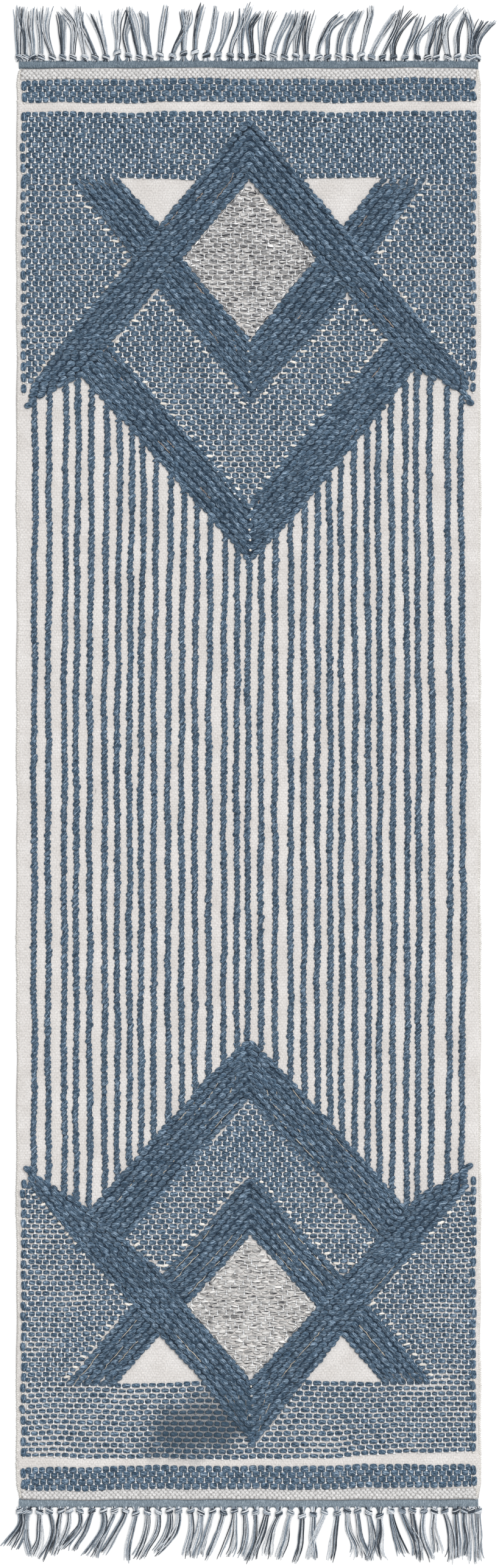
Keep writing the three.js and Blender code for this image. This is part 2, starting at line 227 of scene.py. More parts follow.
# %% From arrays to an object
def sew(name, parts, finish, slot, *nodes):
    """Joins parts into one mesh piece with smooth faces, its yarn places and its finish."""
    shift = np.cumsum([0, *(len(p[0]) for p in parts)])
    points = np.concatenate([p[0] for p in parts]) * MM
    quads, caps = (np.concatenate([p[k] + s for p, s in zip(parts, shift)]) for k in (1, 2))
    mesh = bpy.data.meshes.new(name)
    mesh.vertices.add(len(points))
    mesh.vertices.foreach_set("co", points.astype(np.float32).ravel())
    mesh.loops.add(quads.size + caps.size)
    mesh.loops.foreach_set("vertex_index", np.concatenate([quads.ravel(), caps.ravel()]))
    mesh.polygons.add(len(quads) + len(caps))
    starts = np.concatenate([4 * np.arange(len(quads)), quads.size + 3 * np.arange(len(caps))])
    mesh.polygons.foreach_set("loop_start", starts)
    mesh.polygons.foreach_set("use_smooth", np.ones(len(starts), bool))
    mesh.update(calc_edges=True)
    places = mesh.attributes.new("yarn", "FLOAT_VECTOR", "POINT")
    yarn = np.concatenate([p[3] for p in parts])
    places.data.foreach_set("vector", yarn.astype(np.float32).ravel())
    mesh.materials.append(finish)
    piece = bpy.data.objects.new(name, mesh)
    bpy.context.scene.collection.objects.link(piece)
    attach(piece, "root")
    if nodes:
        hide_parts(*nodes)
    print(f"{name}: {2 * len(quads) + len(caps)} triangles")
    return piece


# %% [markdown]
# ## Finishes
# The wool is the same on every piece: a yarn of many fine fibres, twisted, with
# pale and dark fibres side by side. Its deep colour is partly dark fibres and partly painted
# shade, in the gaps between the fibres and in the grooves between the plies. One node group
# draws those fibres from the yarn places, slanted by the twist, and each material gives it
# its own colours.
# Nodes that only add or multiply are easier to read as sums, so a small class
# turns each + - * / on a socket into its Math node.


# %% Nodes in few words
def linear(red, green, blue):
    """A colour as the screen shows it, from 0 to 255, turned into light."""
    share = np.array([red, green, blue]) / 255
    light = np.where(share <= 0.04045, share / 12.92, ((share + 0.055) / 1.055) ** 2.4)
    return (*light, 1.0)


class Wire:
    """A number in a node tree. Each sum, product or power with it adds one Math node."""

    def __init__(self, tree, socket):
        self.tree, self.socket = tree, socket

    def step(self, operation, *others):
        """One Math node on this number and the others, such as a sine or a floor."""
        made = add(self.tree, "ShaderNodeMath", dict(enumerate((self, *others))), operation=operation)
        return Wire(self.tree, made.outputs[0])

    __add__ = lambda self, other: self.step("ADD", other)
    __sub__ = lambda self, other: self.step("SUBTRACT", other)
    __mul__ = lambda self, other: self.step("MULTIPLY", other)
    __truediv__ = lambda self, other: self.step("DIVIDE", other)
    __pow__ = lambda self, other: self.step("POWER", other)
    __abs__ = lambda self: self.step("ABSOLUTE")


def add(tree, kind, links=None, **settings):
    """Adds a node. links gives an input, by name or number, a socket or a plain value."""
    made = tree.nodes.new(kind)
    for key, value in settings.items():
        setattr(made, key, value)
    for key, value in (links or {}).items():
        value = value.socket if isinstance(value, Wire) else value
        if isinstance(value, bpy.types.NodeSocket):
            tree.links.new(value, made.inputs[key])
        else:
            made.inputs[key].default_value = value
    return made


def dye(tree, share, first, second, how="MIX"):
    """A blend of two colours by a share."""
    links = {0: share, 6: first, 7: second}
    return add(tree, "ShaderNodeMix", links, data_type="RGBA", blend_type=how).outputs[2]


def lighten(tree, colour, level):
    """A colour times a level: 1 leaves it as it is, less makes it darker."""
    grey = add(tree, "ShaderNodeCombineColor", {0: level, 1: level, 2: level}).outputs[0]
    return dye(tree, 1.0, colour, grey, "MULTIPLY")


def spread(tree, value, low, high, to_low=0.0, to_high=1.0):
    """Carries a value from one range to another, and stops at the ends."""
    links = {0: value, 1: low, 2: high, 3: to_low, 4: to_high}
    return Wire(tree, add(tree, "ShaderNodeMapRange", links).outputs[0])


def split(tree, vector):
    """The three numbers of a vector."""
    return [Wire(tree, side) for side in add(tree, "ShaderNodeSeparateXYZ", {0: vector}).outputs]


def noise(tree, place, detail, scale=1.0):
    """Soft noise at a place: mostly between 0.3 and 0.7, with its middle at a half."""
    made = add(tree, "ShaderNodeTexNoise", {"Vector": place, "Scale": scale, "Detail": detail})
    return Wire(tree, made.outputs[0])


def open_group(name, inputs, outputs):
    """An empty node group with these sockets. Returns it with its two ends."""
    tree = bpy.data.node_groups.new(name, "ShaderNodeTree")
    for way, sockets in (("INPUT", inputs), ("OUTPUT", outputs)):
        for label, kind in sockets:
            tree.interface.new_socket(name=label, in_out=way, socket_type="NodeSocket" + kind)
    given = {s.name: Wire(tree, s) if s.type == "VALUE" else s
             for s in tree.nodes.new("NodeGroupInput").outputs if s.name}
    return tree, given, tree.nodes.new("NodeGroupOutput")


def close_group(tree, result, **values):
    """Leads each value to the group's output of that name."""
    for label, value in values.items():
        value = value.socket if isinstance(value, Wire) else value
        tree.links.new(value, result.inputs[label])
    return tree


# %% Wool fibres
TONE_APART = 91.0  # sets each stitch at its own place in the noise
FINE, COARSE = (1.0, 1.0, 2.0), (1.8, 2.6, 1.0)  # noise: times longer, times wider, detail
PLY_BEND, PLY_SHADE = 1.6, 0.09  # how far noise bends the plies, and how much they shade
DEEP_TO_BODY = (0.36, 0.54)  # fine noise over which a fibre goes from deep to body colour
BODY_TO_PALE = (0.52, 0.68)
PALE_GATHER = (0.38, 0.58)  # coarse noise over which pale fibres come in
CLOUDY = (0.3, 0.7, 0.93, 1.06)  # coarse noise, and the level that it gives the colour
FINE_HEIGHT, COARSE_HEIGHT = 0.6, 0.4


def wool_fibres():
    """Noise pulled long along the twisted fibres, plus a sine across them for the plies: painted
    shade darkens the colour between the plies, and a few fibres are pale."""
    tree, given, result = open_group(
        "wool_fibres",
        [("Yarn", "Vector"), ("Twist", "Float"), ("Length", "Float"), ("Width", "Float"),
         ("Deep", "Color"), ("Body", "Color"), ("Pale", "Color"), ("Unlike", "Float")],
        [("Color", "Color"), ("Height", "Float")],
    )
    along, around, tone = split(tree, given["Yarn"])
    cosine, sine = given["Twist"].step("COSINE"), given["Twist"].step("SINE")
    run = along * cosine + around * sine
    gap = around * cosine - along * sine
    shift = tone * TONE_APART

    def fibres(longer, wider, detail):
        """Noise whose specks are so many times longer and wider than a fibre."""
        sides = {0: run / (given["Length"] * longer), 1: gap / (given["Width"] * wider), 2: shift}
        return noise(tree, add(tree, "ShaderNodeCombineXYZ", sides).outputs[0], detail)

    fine, coarse = fibres(*FINE), fibres(*COARSE)
    # painted shade: the ply sine darkens the colour between the plies, as well as bumping them
    plies = ((gap / given["Width"] + coarse * PLY_BEND) * (2 * math.pi)).step("SINE")
    fine = fine + plies * PLY_SHADE
    # the deep colour is partly dark fibres, partly painted shade in the gaps between fibres
    colour = dye(tree, spread(tree, fine, *DEEP_TO_BODY), given["Deep"], given["Body"])
    pale = spread(tree, fine, *BODY_TO_PALE) * spread(tree, coarse, *PALE_GATHER)
    colour = dye(tree, pale, colour, given["Pale"])
    level = spread(tree, tone, 0, 1, -1, 1) * given["Unlike"] + 1.0
    colour = lighten(tree, colour, level * spread(tree, coarse, *CLOUDY))
    return close_group(tree, result, Color=colour, Height=fine * FINE_HEIGHT + coarse * COARSE_HEIGHT)


# %% [markdown]
# A rug that has been washed or handled isn't one even colour. Near the near end
# a damp patch has dried darker. The patch is soft and uneven, so it is a mask:
# distance from its middle, broken up by noise, on the same Object coordinates
# that every piece shares.

# %% Damp patch
PATCH_MIDDLE = (-74, -1053)
PATCH_HALF = (86, 58)
PATCH_LEAN = 0.4
PATCH_CORNERS = 2.3  # 2 is an oval, more fills its corners
PATCH_NOISE = (0.3, 0.7, -0.45, 0.45)
PATCH_RIM = (0.3, 1.35, 0.82, 0.0)  # distance at which it starts to fade and ends, and its strength there
DAMP_COLOUR = (46, 67, 84)


def damp_patch():
    """Blends a colour with the damp one inside an uneven oval: the distance from its middle is
    |across|^p + |along|^p, and noise is added to it."""
    tree, given, result = open_group(
        "damp_patch", [("Place", "Vector"), ("Color", "Color"), ("Amount", "Float")], [("Color", "Color")]
    )
    rough = noise(tree, given["Place"], 3.0, scale=28.0)
    x, y, _ = split(tree, given["Place"])
    along = (y - PATCH_MIDDLE[1] * MM) / (PATCH_HALF[1] * MM)
    across = (x - PATCH_MIDDLE[0] * MM) / (PATCH_HALF[0] * MM) - along * PATCH_LEAN
    far = abs(across) ** PATCH_CORNERS + abs(along) ** PATCH_CORNERS
    far = far + spread(tree, rough, *PATCH_NOISE)
    wet = spread(tree, far, *PATCH_RIM) * given["Amount"]
    return close_group(tree, result, Color=dye(tree, wet, given["Color"], linear(*DAMP_COLOUR)))


fibre_group, damp_group = wool_fibres(), damp_patch()


# %% A wool finish
def new_finish(name):
    """An empty material, with its node tree."""
    finish = bpy.data.materials.new(name)
    finish.use_nodes = True
    return finish, finish.node_tree


def dull_surface(tree, colour, height, soak, relief, depth, roughness, gloss, sheen):
    """Ends a finish: the damp patch over the colour, a bump from the height, and a soft sheen."""
    place = add(tree, "ShaderNodeTexCoord").outputs["Object"]
    links = {"Place": place, "Color": colour, "Amount": soak}
    damp = add(tree, "ShaderNodeGroup", links, node_tree=damp_group)
    bump = add(tree, "ShaderNodeBump", {"Height": height, "Strength": relief, "Distance": depth * MM})
    shader = tree.nodes["Principled BSDF"]
    tree.links.new(damp.outputs["Color"], shader.inputs["Base Color"])
    tree.links.new(bump.outputs["Normal"], shader.inputs["Normal"])
    for label, value in (("Roughness", roughness), ("Specular IOR Level", gloss), ("Sheen Weight", sheen)):
        shader.inputs[label].default_value = value


def wool(name, deep, body, pale, twist=0.5, length=6.0, width=0.9, unlike=0.12, soak=1.0):
    """A yarn material: three colours of fibre, the deep one partly painted shade between fibres
    and plies, their twist in radians, their length and width in mm, how unlike two stitches
    are, and how far the damp patch soaks in."""
    finish, tree = new_finish(name)
    fibres = add(tree, "ShaderNodeGroup", {
        "Yarn": add(tree, "ShaderNodeAttribute", attribute_name="yarn").outputs["Vector"],
        "Twist": twist, "Length": length, "Width": width, "Unlike": unlike,
        "Deep": linear(*deep), "Body": linear(*body), "Pale": linear(*pale),
    }, node_tree=fibre_group)
    dull_surface(tree, fibres.outputs["Color"], fibres.outputs["Height"], soak,
                 relief=0.5, depth=0.8, roughness=0.92, gloss=0.25, sheen=0.15)
    return finish


blue_wool = wool("blue_wool", (22, 42, 58), (79, 103, 125), (150, 168, 185), 0.2, 5, 1.2)
blue_band = wool("blue_band", (14, 33, 49), (79, 102, 123), (147, 166, 184), 0.25, 6, 1.0, 0.16, soak=0.4)
blue_wrap = wool("blue_wrap", (17, 36, 52), (74, 97, 118), (150, 168, 185), 0.05, 5, 0.8, 0.14)
# painted shade: a dark blue for the band beds and stripe cores, standing for the shade in the gaps between
# stitches and wraps
painted_shade_bed = wool("painted_shade_bed", (16, 33, 48), (40, 58, 76), (60, 78, 96), 0.3, 6, 1.3, 0.05)
white_warp = wool("white_warp", (208, 210, 213), (233, 235, 237), (244, 245, 246), 0.5, 5, 0.9, 0.05)
selvedge_warp = wool("selvedge_warp", (196, 192, 186), (212, 209, 204), (224, 222, 218), 0.5, 5, 0.9, 0.05)
gap_shade = wool("gap_shade", (150, 148, 147), (172, 170, 169), (192, 190, 189), 0.5, 5, 0.9, 0.05)
raw_warp = wool("raw_warp", (200, 195, 187), (224, 219, 211), (238, 235, 230), 0.5, 5, 0.9, 0.08)
marled = wool("marled_wool", (24, 26, 36), (168, 168, 169), (232, 230, 227), 0.08, 11, 2.0, 0.2)
marled_light = wool("marled_light", (30, 32, 42), (203, 202, 200), (231, 229, 226), 0.06, 13, 1.6)
stray_yarn = wool("stray_yarn", (132, 118, 108), (168, 152, 140), (198, 184, 172), 0.5, 5, 0.9, 0.15)
stray_pale = wool("stray_pale", (150, 142, 130), (188, 180, 167), (208, 202, 190), 0.5, 5, 0.9, 0.15)
pale_beads = wool("pale_beads", (188, 187, 186), (209, 208, 207), (222, 220, 220), 0.5, 4, 0.9, 0.05)
heading = {
    "far": wool("heading_far", (82, 96, 108), (105, 119, 130), (140, 153, 163), 1.571, 2.5),
    "near": wool("heading_near", (98, 111, 122), (124, 137, 147), (154, 166, 175), 1.571, 2.5),
}
print("wool finishes:", len(bpy.data.materials))

# %% [markdown]
# The plain cloth is a tight white weave. Its threads are a few millimetres
# apart, too fine and too many to model, so a group draws them: a small mound for
# every crossing, from the product of two sines, slightly wavy.


# %% White cloth
def weave_cells():
    """Height is the root of |sin x times sin y| on a wavy grid whose rows are laid like bricks."""
    tree, given, result = open_group(
        "weave_cells", [("Place", "Vector"), ("Across", "Float"), ("Along", "Float"), ("Waviness", "Float")],
        [("Height", "Float"), ("Groove", "Float")],
    )
    vector = lambda operation, links: add(tree, "ShaderNodeVectorMath", links, operation=operation).outputs[0]
    cloud = add(tree, "ShaderNodeTexNoise", {"Vector": given["Place"], "Scale": 90.0, "Detail": 2.0})
    wavy = vector("SUBTRACT", {0: cloud.outputs["Color"], 1: (0.5, 0.5, 0.5)})
    wavy = vector("SCALE", {0: wavy, "Scale": given["Waviness"]})
    x, y, _ = split(tree, vector("ADD", {0: given["Place"], 1: wavy}))
    x, y = x / given["Across"], y / given["Along"]
    x = x + y.step("FLOOR") * 0.5
    mound = abs((x * math.pi).step("SINE") * (y * math.pi).step("SINE")).step("SQRT")
    return close_group(tree, result, Height=mound, Groove=spread(tree, mound, 0.0, 0.55, 1.0, 0.0))


weave_group = weave_cells()
CELL = {"Across": 0.0058, "Along": 0.0042, "Waviness": 0.005}  # in metres
CLOTH_SHADES = ((204, 200, 197), (215, 212, 210))
# painted shade: the grooves between the weave's mounds are darkened towards this colour
GROOVE_SHADE_COLOUR, GROOVE_SHADE_SHARE = (178, 172, 164), 0.45
GRAIN_SCALE, GRAIN_LEVEL = (560.0, 260.0, 1.0), (0.3, 0.7, 0.86, 1.1)
HAIR_SCALE, HAIR_TURN, HAIR_COLOUR = (260.0, 40.0, 1.0), (0, 0, 0.7), (120, 120, 122)


def cloth_finish():
    """White weave with painted shade in its grooves, soft cloudy tone, a few dark hairs, and the damp patch.
    """
    finish, tree = new_finish("white_cloth")
    place = add(tree, "ShaderNodeTexCoord").outputs["Object"]
    cells = add(tree, "ShaderNodeGroup", {"Place": place, **CELL}, node_tree=weave_group).outputs
    cloud = spread(tree, noise(tree, place, 4.0, scale=22.0), 0.35, 0.65)
    colour = dye(tree, cloud, *(linear(*shade) for shade in CLOTH_SHADES))
    # painted shade in the grooves between the mounds
    groove_shade = Wire(tree, cells["Groove"]) * GROOVE_SHADE_SHARE
    colour = dye(tree, groove_shade, colour, linear(*GROOVE_SHADE_COLOUR))
    grain_place = add(tree, "ShaderNodeMapping", {"Vector": place, "Scale": GRAIN_SCALE}).outputs[0]
    colour = lighten(tree, colour, spread(tree, noise(tree, grain_place, 1.0), *GRAIN_LEVEL))
    links = {"Vector": place, "Scale": HAIR_SCALE, "Rotation": HAIR_TURN}
    hair = noise(tree, add(tree, "ShaderNodeMapping", links).outputs[0], 1.0)
    colour = dye(tree, spread(tree, hair, 0.76, 0.8, 0, 0.5), colour, linear(*HAIR_COLOUR))
    dull_surface(tree, colour, cells["Height"], soak=0.7,
                 relief=0.4, depth=0.9, roughness=0.93, gloss=0.2, sheen=0.1)
    return finish


white_cloth = cloth_finish()
print("cloth finish made")

# %% [markdown]
# ## Floor and light
# A studio photograph of a rug is lit from all round, so that the wool shows and
# no shadow falls beside it. A white world gives the even part, and one very wide
# sun from over the right shoulder gives the stitches their shape.

# %% Floor and light
FLOOR_HALF, FLOOR_DROP = 40, 0.0003  # in metres: the floor lies just under the rug's underside
FLOOR_PAINT = (0.93, 0.93, 0.93, 1)
SUN_POWER, SUN_WIDE, SUN_TURN = 1.95, math.radians(50), (math.radians(-24), math.radians(26), 0)
SKY_POWER = 0.74

floor_corners = [(x * FLOOR_HALF, y * FLOOR_HALF, 0) for x, y in ((-1, -1), (1, -1), (1, 1), (-1, 1))]
floor_mesh = bpy.data.meshes.new("studio_floor")
floor_mesh.from_pydata(floor_corners, [], [(0, 1, 2, 3)])
floor = bpy.data.objects.new("studio_floor", floor_mesh)
floor.location.z = -FLOOR_DROP
bpy.context.scene.collection.objects.link(floor)
paint, paint_tree = new_finish("pale_floor")
paint_tree.nodes["Principled BSDF"].inputs["Base Color"].default_value = FLOOR_PAINT
paint_tree.nodes["Principled BSDF"].inputs["Roughness"].default_value = 0.9
floor_mesh.materials.append(paint)
floor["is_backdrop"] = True

key = bpy.data.lights.new("wide_sun", "SUN")
key.energy, key.angle = SUN_POWER, SUN_WIDE
sun = bpy.data.objects.new("wide_sun", key)
sun.rotation_euler = SUN_TURN
bpy.context.scene.collection.objects.link(sun)
sky = bpy.data.worlds.new("white_room")
sky.use_nodes = True
sky.node_tree.nodes["Background"].inputs["Color"].default_value = (1, 1, 1, 1)
sky.node_tree.nodes["Background"].inputs["Strength"].default_value = SKY_POWER
bpy.context.scene.world = sky
bpy.context.scene.view_settings.view_transform = "Standard"
print("light from", tuple(round(math.degrees(a)) for a in sun.rotation_euler))

# %% [markdown]
# ## The pattern's outlines
# The motif is a plain traditional one: two crossing chevrons and a lozenge. Each
# edge of a band runs from its left foot over its apex to its right foot. It was
# laid out by eye on the loom, so the two arms aren't quite alike. The places are
# in millimetres: across the rug, and from its middle towards that end.
# Everything woven later asks these lines where it may go.

# %% Outlines
GATE = {"far": 994.5, "near": 981}  # where the full-width field ends
BANDS = {
    "far": {
        "wide": {
            "outer": ((-359, 655), (-262, 781), (-20, 1074), (1, 1090), (22, 1074), (269, 782), (362, 667)),
            "inner": ((-371, 619), (-268, 675), (1, 991), (68, 913), (272, 676), (315, 661), (371, 621)),
            "top": 7.8,
        },
        "cut": {
            "outer": ((-294, 995), (-30, 668), (1, 618), (32, 656), (139, 771), (294, 995)),
            "inner": ((-213, 995), (-143, 917), (-96, 847), (3, 732), (82, 829), (217, 995)),
            "top": 6.8,
        },
        "long": {
            "outer": ((-294, 690), (-165, 550), (2, 361), (99, 465), (294, 705)),
            "inner": ((-238, 735), (1, 464), (135, 626), (238, 743)),
            "top": 6.8,
        },
    },
    "near": {
        "wide": {
            "outer": ((-361, 657), (-265, 776), (-81, 977), (8, 1089), (145, 918), (360, 668)),
            "inner": ((-371, 625), (-278, 684), (-152, 790), (-78, 884), (4, 978), (274, 681), (371, 626)),
            "top": 7.8,
        },
        "cut": {
            "outer": ((-303, 987), (-222, 889), (-103, 762), (1, 640), (226, 889), (303, 987)),
            "inner": ((-218, 985), (-62, 814), (3, 743), (96, 843), (220, 985)),
            "top": 6.8,
        },
        "long": {
            "outer": ((-286, 722), (-75, 489), (1, 416), (75, 490), (286, 725)),
            "inner": ((-222, 770), (1, 519), (55, 575), (225, 768)),
            "top": 6.8,
        },
    },
}


def apex(line):
    """The point of an edge that lies nearest the motif's middle line."""
    return min(line, key=lambda point: abs(point[0]))


def arm(line, side):
    """One arm of an edge, from its lowest point to its highest: places across, then heights."""
    tip = apex(line)
    points = [point for point in line if (point[0] - tip[0]) * side >= 0]
    return np.array(sorted(points, key=lambda point: point[1]), float).T


def edge_y(line, x):
    """Height of an edge at a place across the rug, straight between its points."""
    return np.interp(x, *np.array(line, float).T)


def edge_x(line, y, side):
    """Place of an edge's arm across the rug at a height. Past an end it stays at that end."""
    across, heights = arm(line, side)
    return np.interp(y, heights, across)


def place_in(end, x, y):
    """On which side of each band's edges a point lies, from its place across the rug and its
    height towards the end."""
    line = lambda band, side: edge_y(BANDS[end][band][side], x)
    return {
        "over_wide": y > line("wide", "outer"),
        "under_wide": y < line("wide", "inner"),
        "over_cut": y > line("cut", "inner"),
        "under_cut": y < line("cut", "outer"),
        "over_long": y > line("long", "inner"),
    }


def in_field(end, x, y):
    """Where the thick blue weft is woven: the full-width field, the sides, and the heart."""
    at = place_in(end, x, y)
    full = (y > GATE[end]) & at["over_wide"]
    side = (y <= GATE[end]) & at["under_cut"] & at["over_wide"]
    heart = at["under_cut"] & at["over_long"] & at["under_wide"] & (y <= GATE[end])
    return full | side | heart


def in_lozenge(end, x, y):
    """Between the inner edges of the cut band, below, and the wide band, above."""
    at = place_in(end, x, y)
    return at["over_cut"] & at["under_wide"]


def in_band(end, name, x, y, margin=0):
    """Inside a band, or this far outside it."""
    outer, inner = (edge_y(BANDS[end][name][side], x) for side in ("outer", "inner"))
    return (y > np.minimum(outer, inner) - margin) & (y < np.maximum(outer, inner) + margin)


def points_up(band):
    """True for a band whose apex is nearer the rug's end than its feet."""
    return apex(band["outer"])[1] > apex(band["inner"])[1]


print("apex of the wide band, far end:", apex(BANDS["far"]["wide"]["outer"]))

# %% [markdown]
# ## Stripes' lines
# Thirty-three stripes run the length of the rug. Each one is wrapped by hand, so
# it wanders by a millimetre, and the gaps between them aren't equal. A stripe's
# middle line is its own place plus slow sine waves, plus the sideways pull of
# the tight bands near both ends.

# %% Stripe lines
STRIPES = 33
FIRST_STRIPE, STRIPE_PITCH = -352, 22
EXTRA_GAPS = {1: 1, 2: 4.5, 3: -2.5, 5: 2.5, 6: -1, 7: -2, 8: -3, 9: -1, 10: 1.5, 13: 1, 14: 2.5, 15: -1,
              16: -3.5, 17: -1, 18: 1.5, 19: 3.5, 22: -1, 23: -3, 26: -3.5, 28: 1, 29: -3, 31: 7}
WANDER = ((0.8, 310), (0.45, 117), (0.2, 43))  # how far each wave goes, and its length
FAR_PULL, NEAR_PULL = 4.2, 3.2
STRIPE_TUCK = 5  # a stripe runs on this far under its band
gaps = [STRIPE_PITCH + EXTRA_GAPS.get(n, 0) for n in range(1, STRIPES)]
stripe_x = FIRST_STRIPE + np.concatenate([[0], np.cumsum(gaps)])
wave_phase = chance.random((STRIPES, len(WANDER))) * 2 * math.pi


def stripe_line(index, y):
    """The middle line's x: three slow waves of about a millimetre, and the pull of both ends'
    bands, which draws the stripes towards the middle, at the near end only on the right."""
    base, phase = stripe_x[index], wave_phase[index]
    wander = sum(a * np.sin(2 * math.pi * y / w + phase[..., k]) for k, (a, w) in enumerate(WANDER))
    far_pull = FAR_PULL * np.clip((y - 130) / 330, 0, 1) * np.cos(math.pi * (base + 160) / 500)
    near_pull = NEAR_PULL * np.clip((-y - 330) / 250, 0, 1) * np.clip(base / -FIRST_STRIPE, 0, 1) ** 2
    return base + wander + far_pull - near_pull


def stripe_reach(index, end):
    """How far a stripe runs: to the long band, or to the wide band's foot, and a bit under it."""
    bands, x = BANDS[end], stripe_x[index]
    return min(edge_y(bands["long"]["outer"], x), edge_y(bands["wide"]["inner"], x)) + STRIPE_TUCK


print("stripes from", stripe_x[0], "to", stripe_x[-1])

# %% [markdown]
# ## The plain cloth
# The cloth itself is one closed sheet three millimetres thick. Each wrapped
# stripe pulls it down, so it stands up softly between two stripes, and its long
# sides are slightly scalloped where the weft turns back.

# %% Ground cloth
CLOTH_HALF = (380.5, 1174.5)
CLOTH_TOP = 3.0
WHITE_BAND = 1113.5  # middle of the bare band outside each full-width field
STRIPED_HALF = (366, 640)
PUFF, PUFF_WIDE = 0.55, 5.5  # how far the cloth stands up beside a stripe, and how soon
BAND_PUFF, BAND_PUFF_WIDE = 1.0, 6
RIM_WIDE = 5  # the cloth's rim is rolled down over this width
CORNER_PULL, CORNER_LONG = 4, 14


def corner_pull(y):
    """How far the tight heading draws the sides in: most at the corners, gone 30 mm away."""
    return CORNER_PULL * np.exp(-(((CLOTH_HALF[1] - np.abs(y)) / CORNER_LONG) ** 2))


def side_wave(y, share):
    """The uneven sides: two sine waves along the rug, shifted a little across it."""
    return 0.8 * np.sin(y / 61 + 2 * share) + 0.6 * np.sin(y / 23 + share)


columns = np.linspace(-1, 1, 165)
band_rows = WHITE_BAND + np.array([-7.5, -3.5, 3.5, 7.5])
along = np.sort(np.concatenate([np.linspace(-1, 1, 96) * CLOTH_HALF[1], band_rows, -band_rows]))
share, cloth_y = np.meshgrid(columns, along)
cloth_x = share * (CLOTH_HALF[0] - corner_pull(cloth_y))
cloth_x = cloth_x + side_wave(cloth_y, share) * share**2 * np.sign(share)
lines = np.stack([stripe_line(i, along) for i in range(STRIPES)], 1)
nearest = np.abs(cloth_x[:, :, None] - lines[:, None, :]).min(2)
striped = (np.abs(cloth_y) < STRIPED_HALF[1]) & (np.abs(cloth_x) < STRIPED_HALF[0])
puff = PUFF * (1 - np.exp(-((nearest / PUFF_WIDE) ** 2))) * striped
puff = puff + BAND_PUFF * np.exp(-(((np.abs(cloth_y) - WHITE_BAND) / BAND_PUFF_WIDE) ** 2))
rim = np.minimum(1 - np.abs(share), (1 - np.abs(cloth_y) / CLOTH_HALF[1]) * 3) * CLOTH_HALF[0]
roll = 1 - np.clip(rim / RIM_WIDE, 0, 1)
cloth_z = CLOTH_TOP - 0.25 + puff + 0.12 * np.sin(cloth_x / 17 + cloth_y / 29) - 1.3 * roll**2
cloth_sides = [np.stack([cloth_x, cloth_y, z], -1) for z in (cloth_z, 0.7 * roll**2)]
ground = sew("ground_cloth", [quilt(*cloth_sides)], white_cloth, "white_wool", "rug_cloth")

# %% [markdown]
# ## The blue weft fields
# In the fields the thick weft floats over two warps and dips under one, so it
# shows as rows of short oval stitches, laid like bricks. The white warp that
# holds each one down is a thin bright line that ends in a small white foot. The
# rows breathe a little: waves move them up and down, and some stitches are thin.

# %% Rows of the weave
SLANT = {"far": 0.002, "near": 0.006}  # the rows climb a little to the right
ROW_WAVE = ((1.1, 63, 41), (0.8, 29, -57), (0.6, 13, 90))  # size, and length across and along
WARP_PITCH, PITCH_LOSS, WEAVE_HALF = 14.3, 2.7, 372  # the warps crowd towards the selvedges
SIDE_TURN = 366.5  # the last stitch of a row ends here, at the turn
SHORTEST = 4.5
warp_x = np.linspace(-380, 380, 1521)
warp_pitch = WARP_PITCH - PITCH_LOSS * np.clip(np.abs(warp_x) / WEAVE_HALF, 0, 1) ** 3
warp_count = np.concatenate([[0], np.cumsum(np.diff(warp_x) / warp_pitch[1:])])


def row_wave(x, y):
    """How far a row leaves its line: three sine waves that run across the rug. At the near end the
    outermost rows of the full field also climb at both sides, nine millimetres at the most."""
    climb = 9 * np.clip((x - 145) / 165, 0, 1) + 5 * np.clip((-x - 210) / 138, 0, 1)
    climb = climb * np.clip((-y - 990) / 110, 0, 1) * (y > -1112)
    return climb + sum(a * np.sin(x / p + y / q) for a, p, q in ROW_WAVE)


def on_rug(end, x, y, wave=1.0):
    """From a height towards an end to the rug's y: its sign, the rows' slant and their wave."""
    return END_SIGN[end] * y + SLANT[end] * x + wave * row_wave(x, END_SIGN[end] * y)


def brick_rows(rows, end):
    """Stitch middles and lengths for rows of brick-laid weft between the selvedges.
    Stitch bounds are whole warps, or half a warp further on in every other row."""
    number = np.arange(0, int(warp_count[-1]) + 1)
    bound = number[None] + 0.5 * (np.arange(len(rows))[:, None] % 2)
    bound = bound + stray(0.055, bound.shape)
    x = np.clip(np.interp(bound, warp_count, warp_x), -SIDE_TURN, SIDE_TURN)
    middle, length = (x[:, 1:] + x[:, :-1]) / 2, x[:, 1:] - x[:, :-1]
    y = np.broadcast_to(np.array(rows, float)[:, None], middle.shape)
    keep = length > SHORTEST
    return middle[keep], y[keep], on_rug(end, middle, y)[keep], length[keep]


FIELD_ROWS = {
    "far": {
        "border": [1153.5, 1143.7, 1134.2, 1125.4],
        "full": np.linspace(1100.7, 998.7, 13),
        "side": np.arange(989.7, 652, -9.3),
        "heart": np.arange(852, 464, -8.6),
    },
    "near": {
        "border": [1125, 1133.5, 1143.5, 1153],
        "full": np.linspace(1104.3, 985.2, 14),
        "side": np.arange(976.5, 652, -8.35),
        "heart": np.arange(862, 517, -8.5),
    },
}
ROW_PITCH = {"border": 9.8, "full": 8.9, "side": 8.9, "heart": 8.5}
pebble = unit_stitch(3, 6, 3.6)
float_line = unit_stitch(2, 4, 4)
foot_wedge = unit_stitch(2, 4, 7)
foot_bead = unit_stitch(1, 6, 2.4)
print("rows at the far end:", {k: len(v) for k, v in FIELD_ROWS["far"].items()})

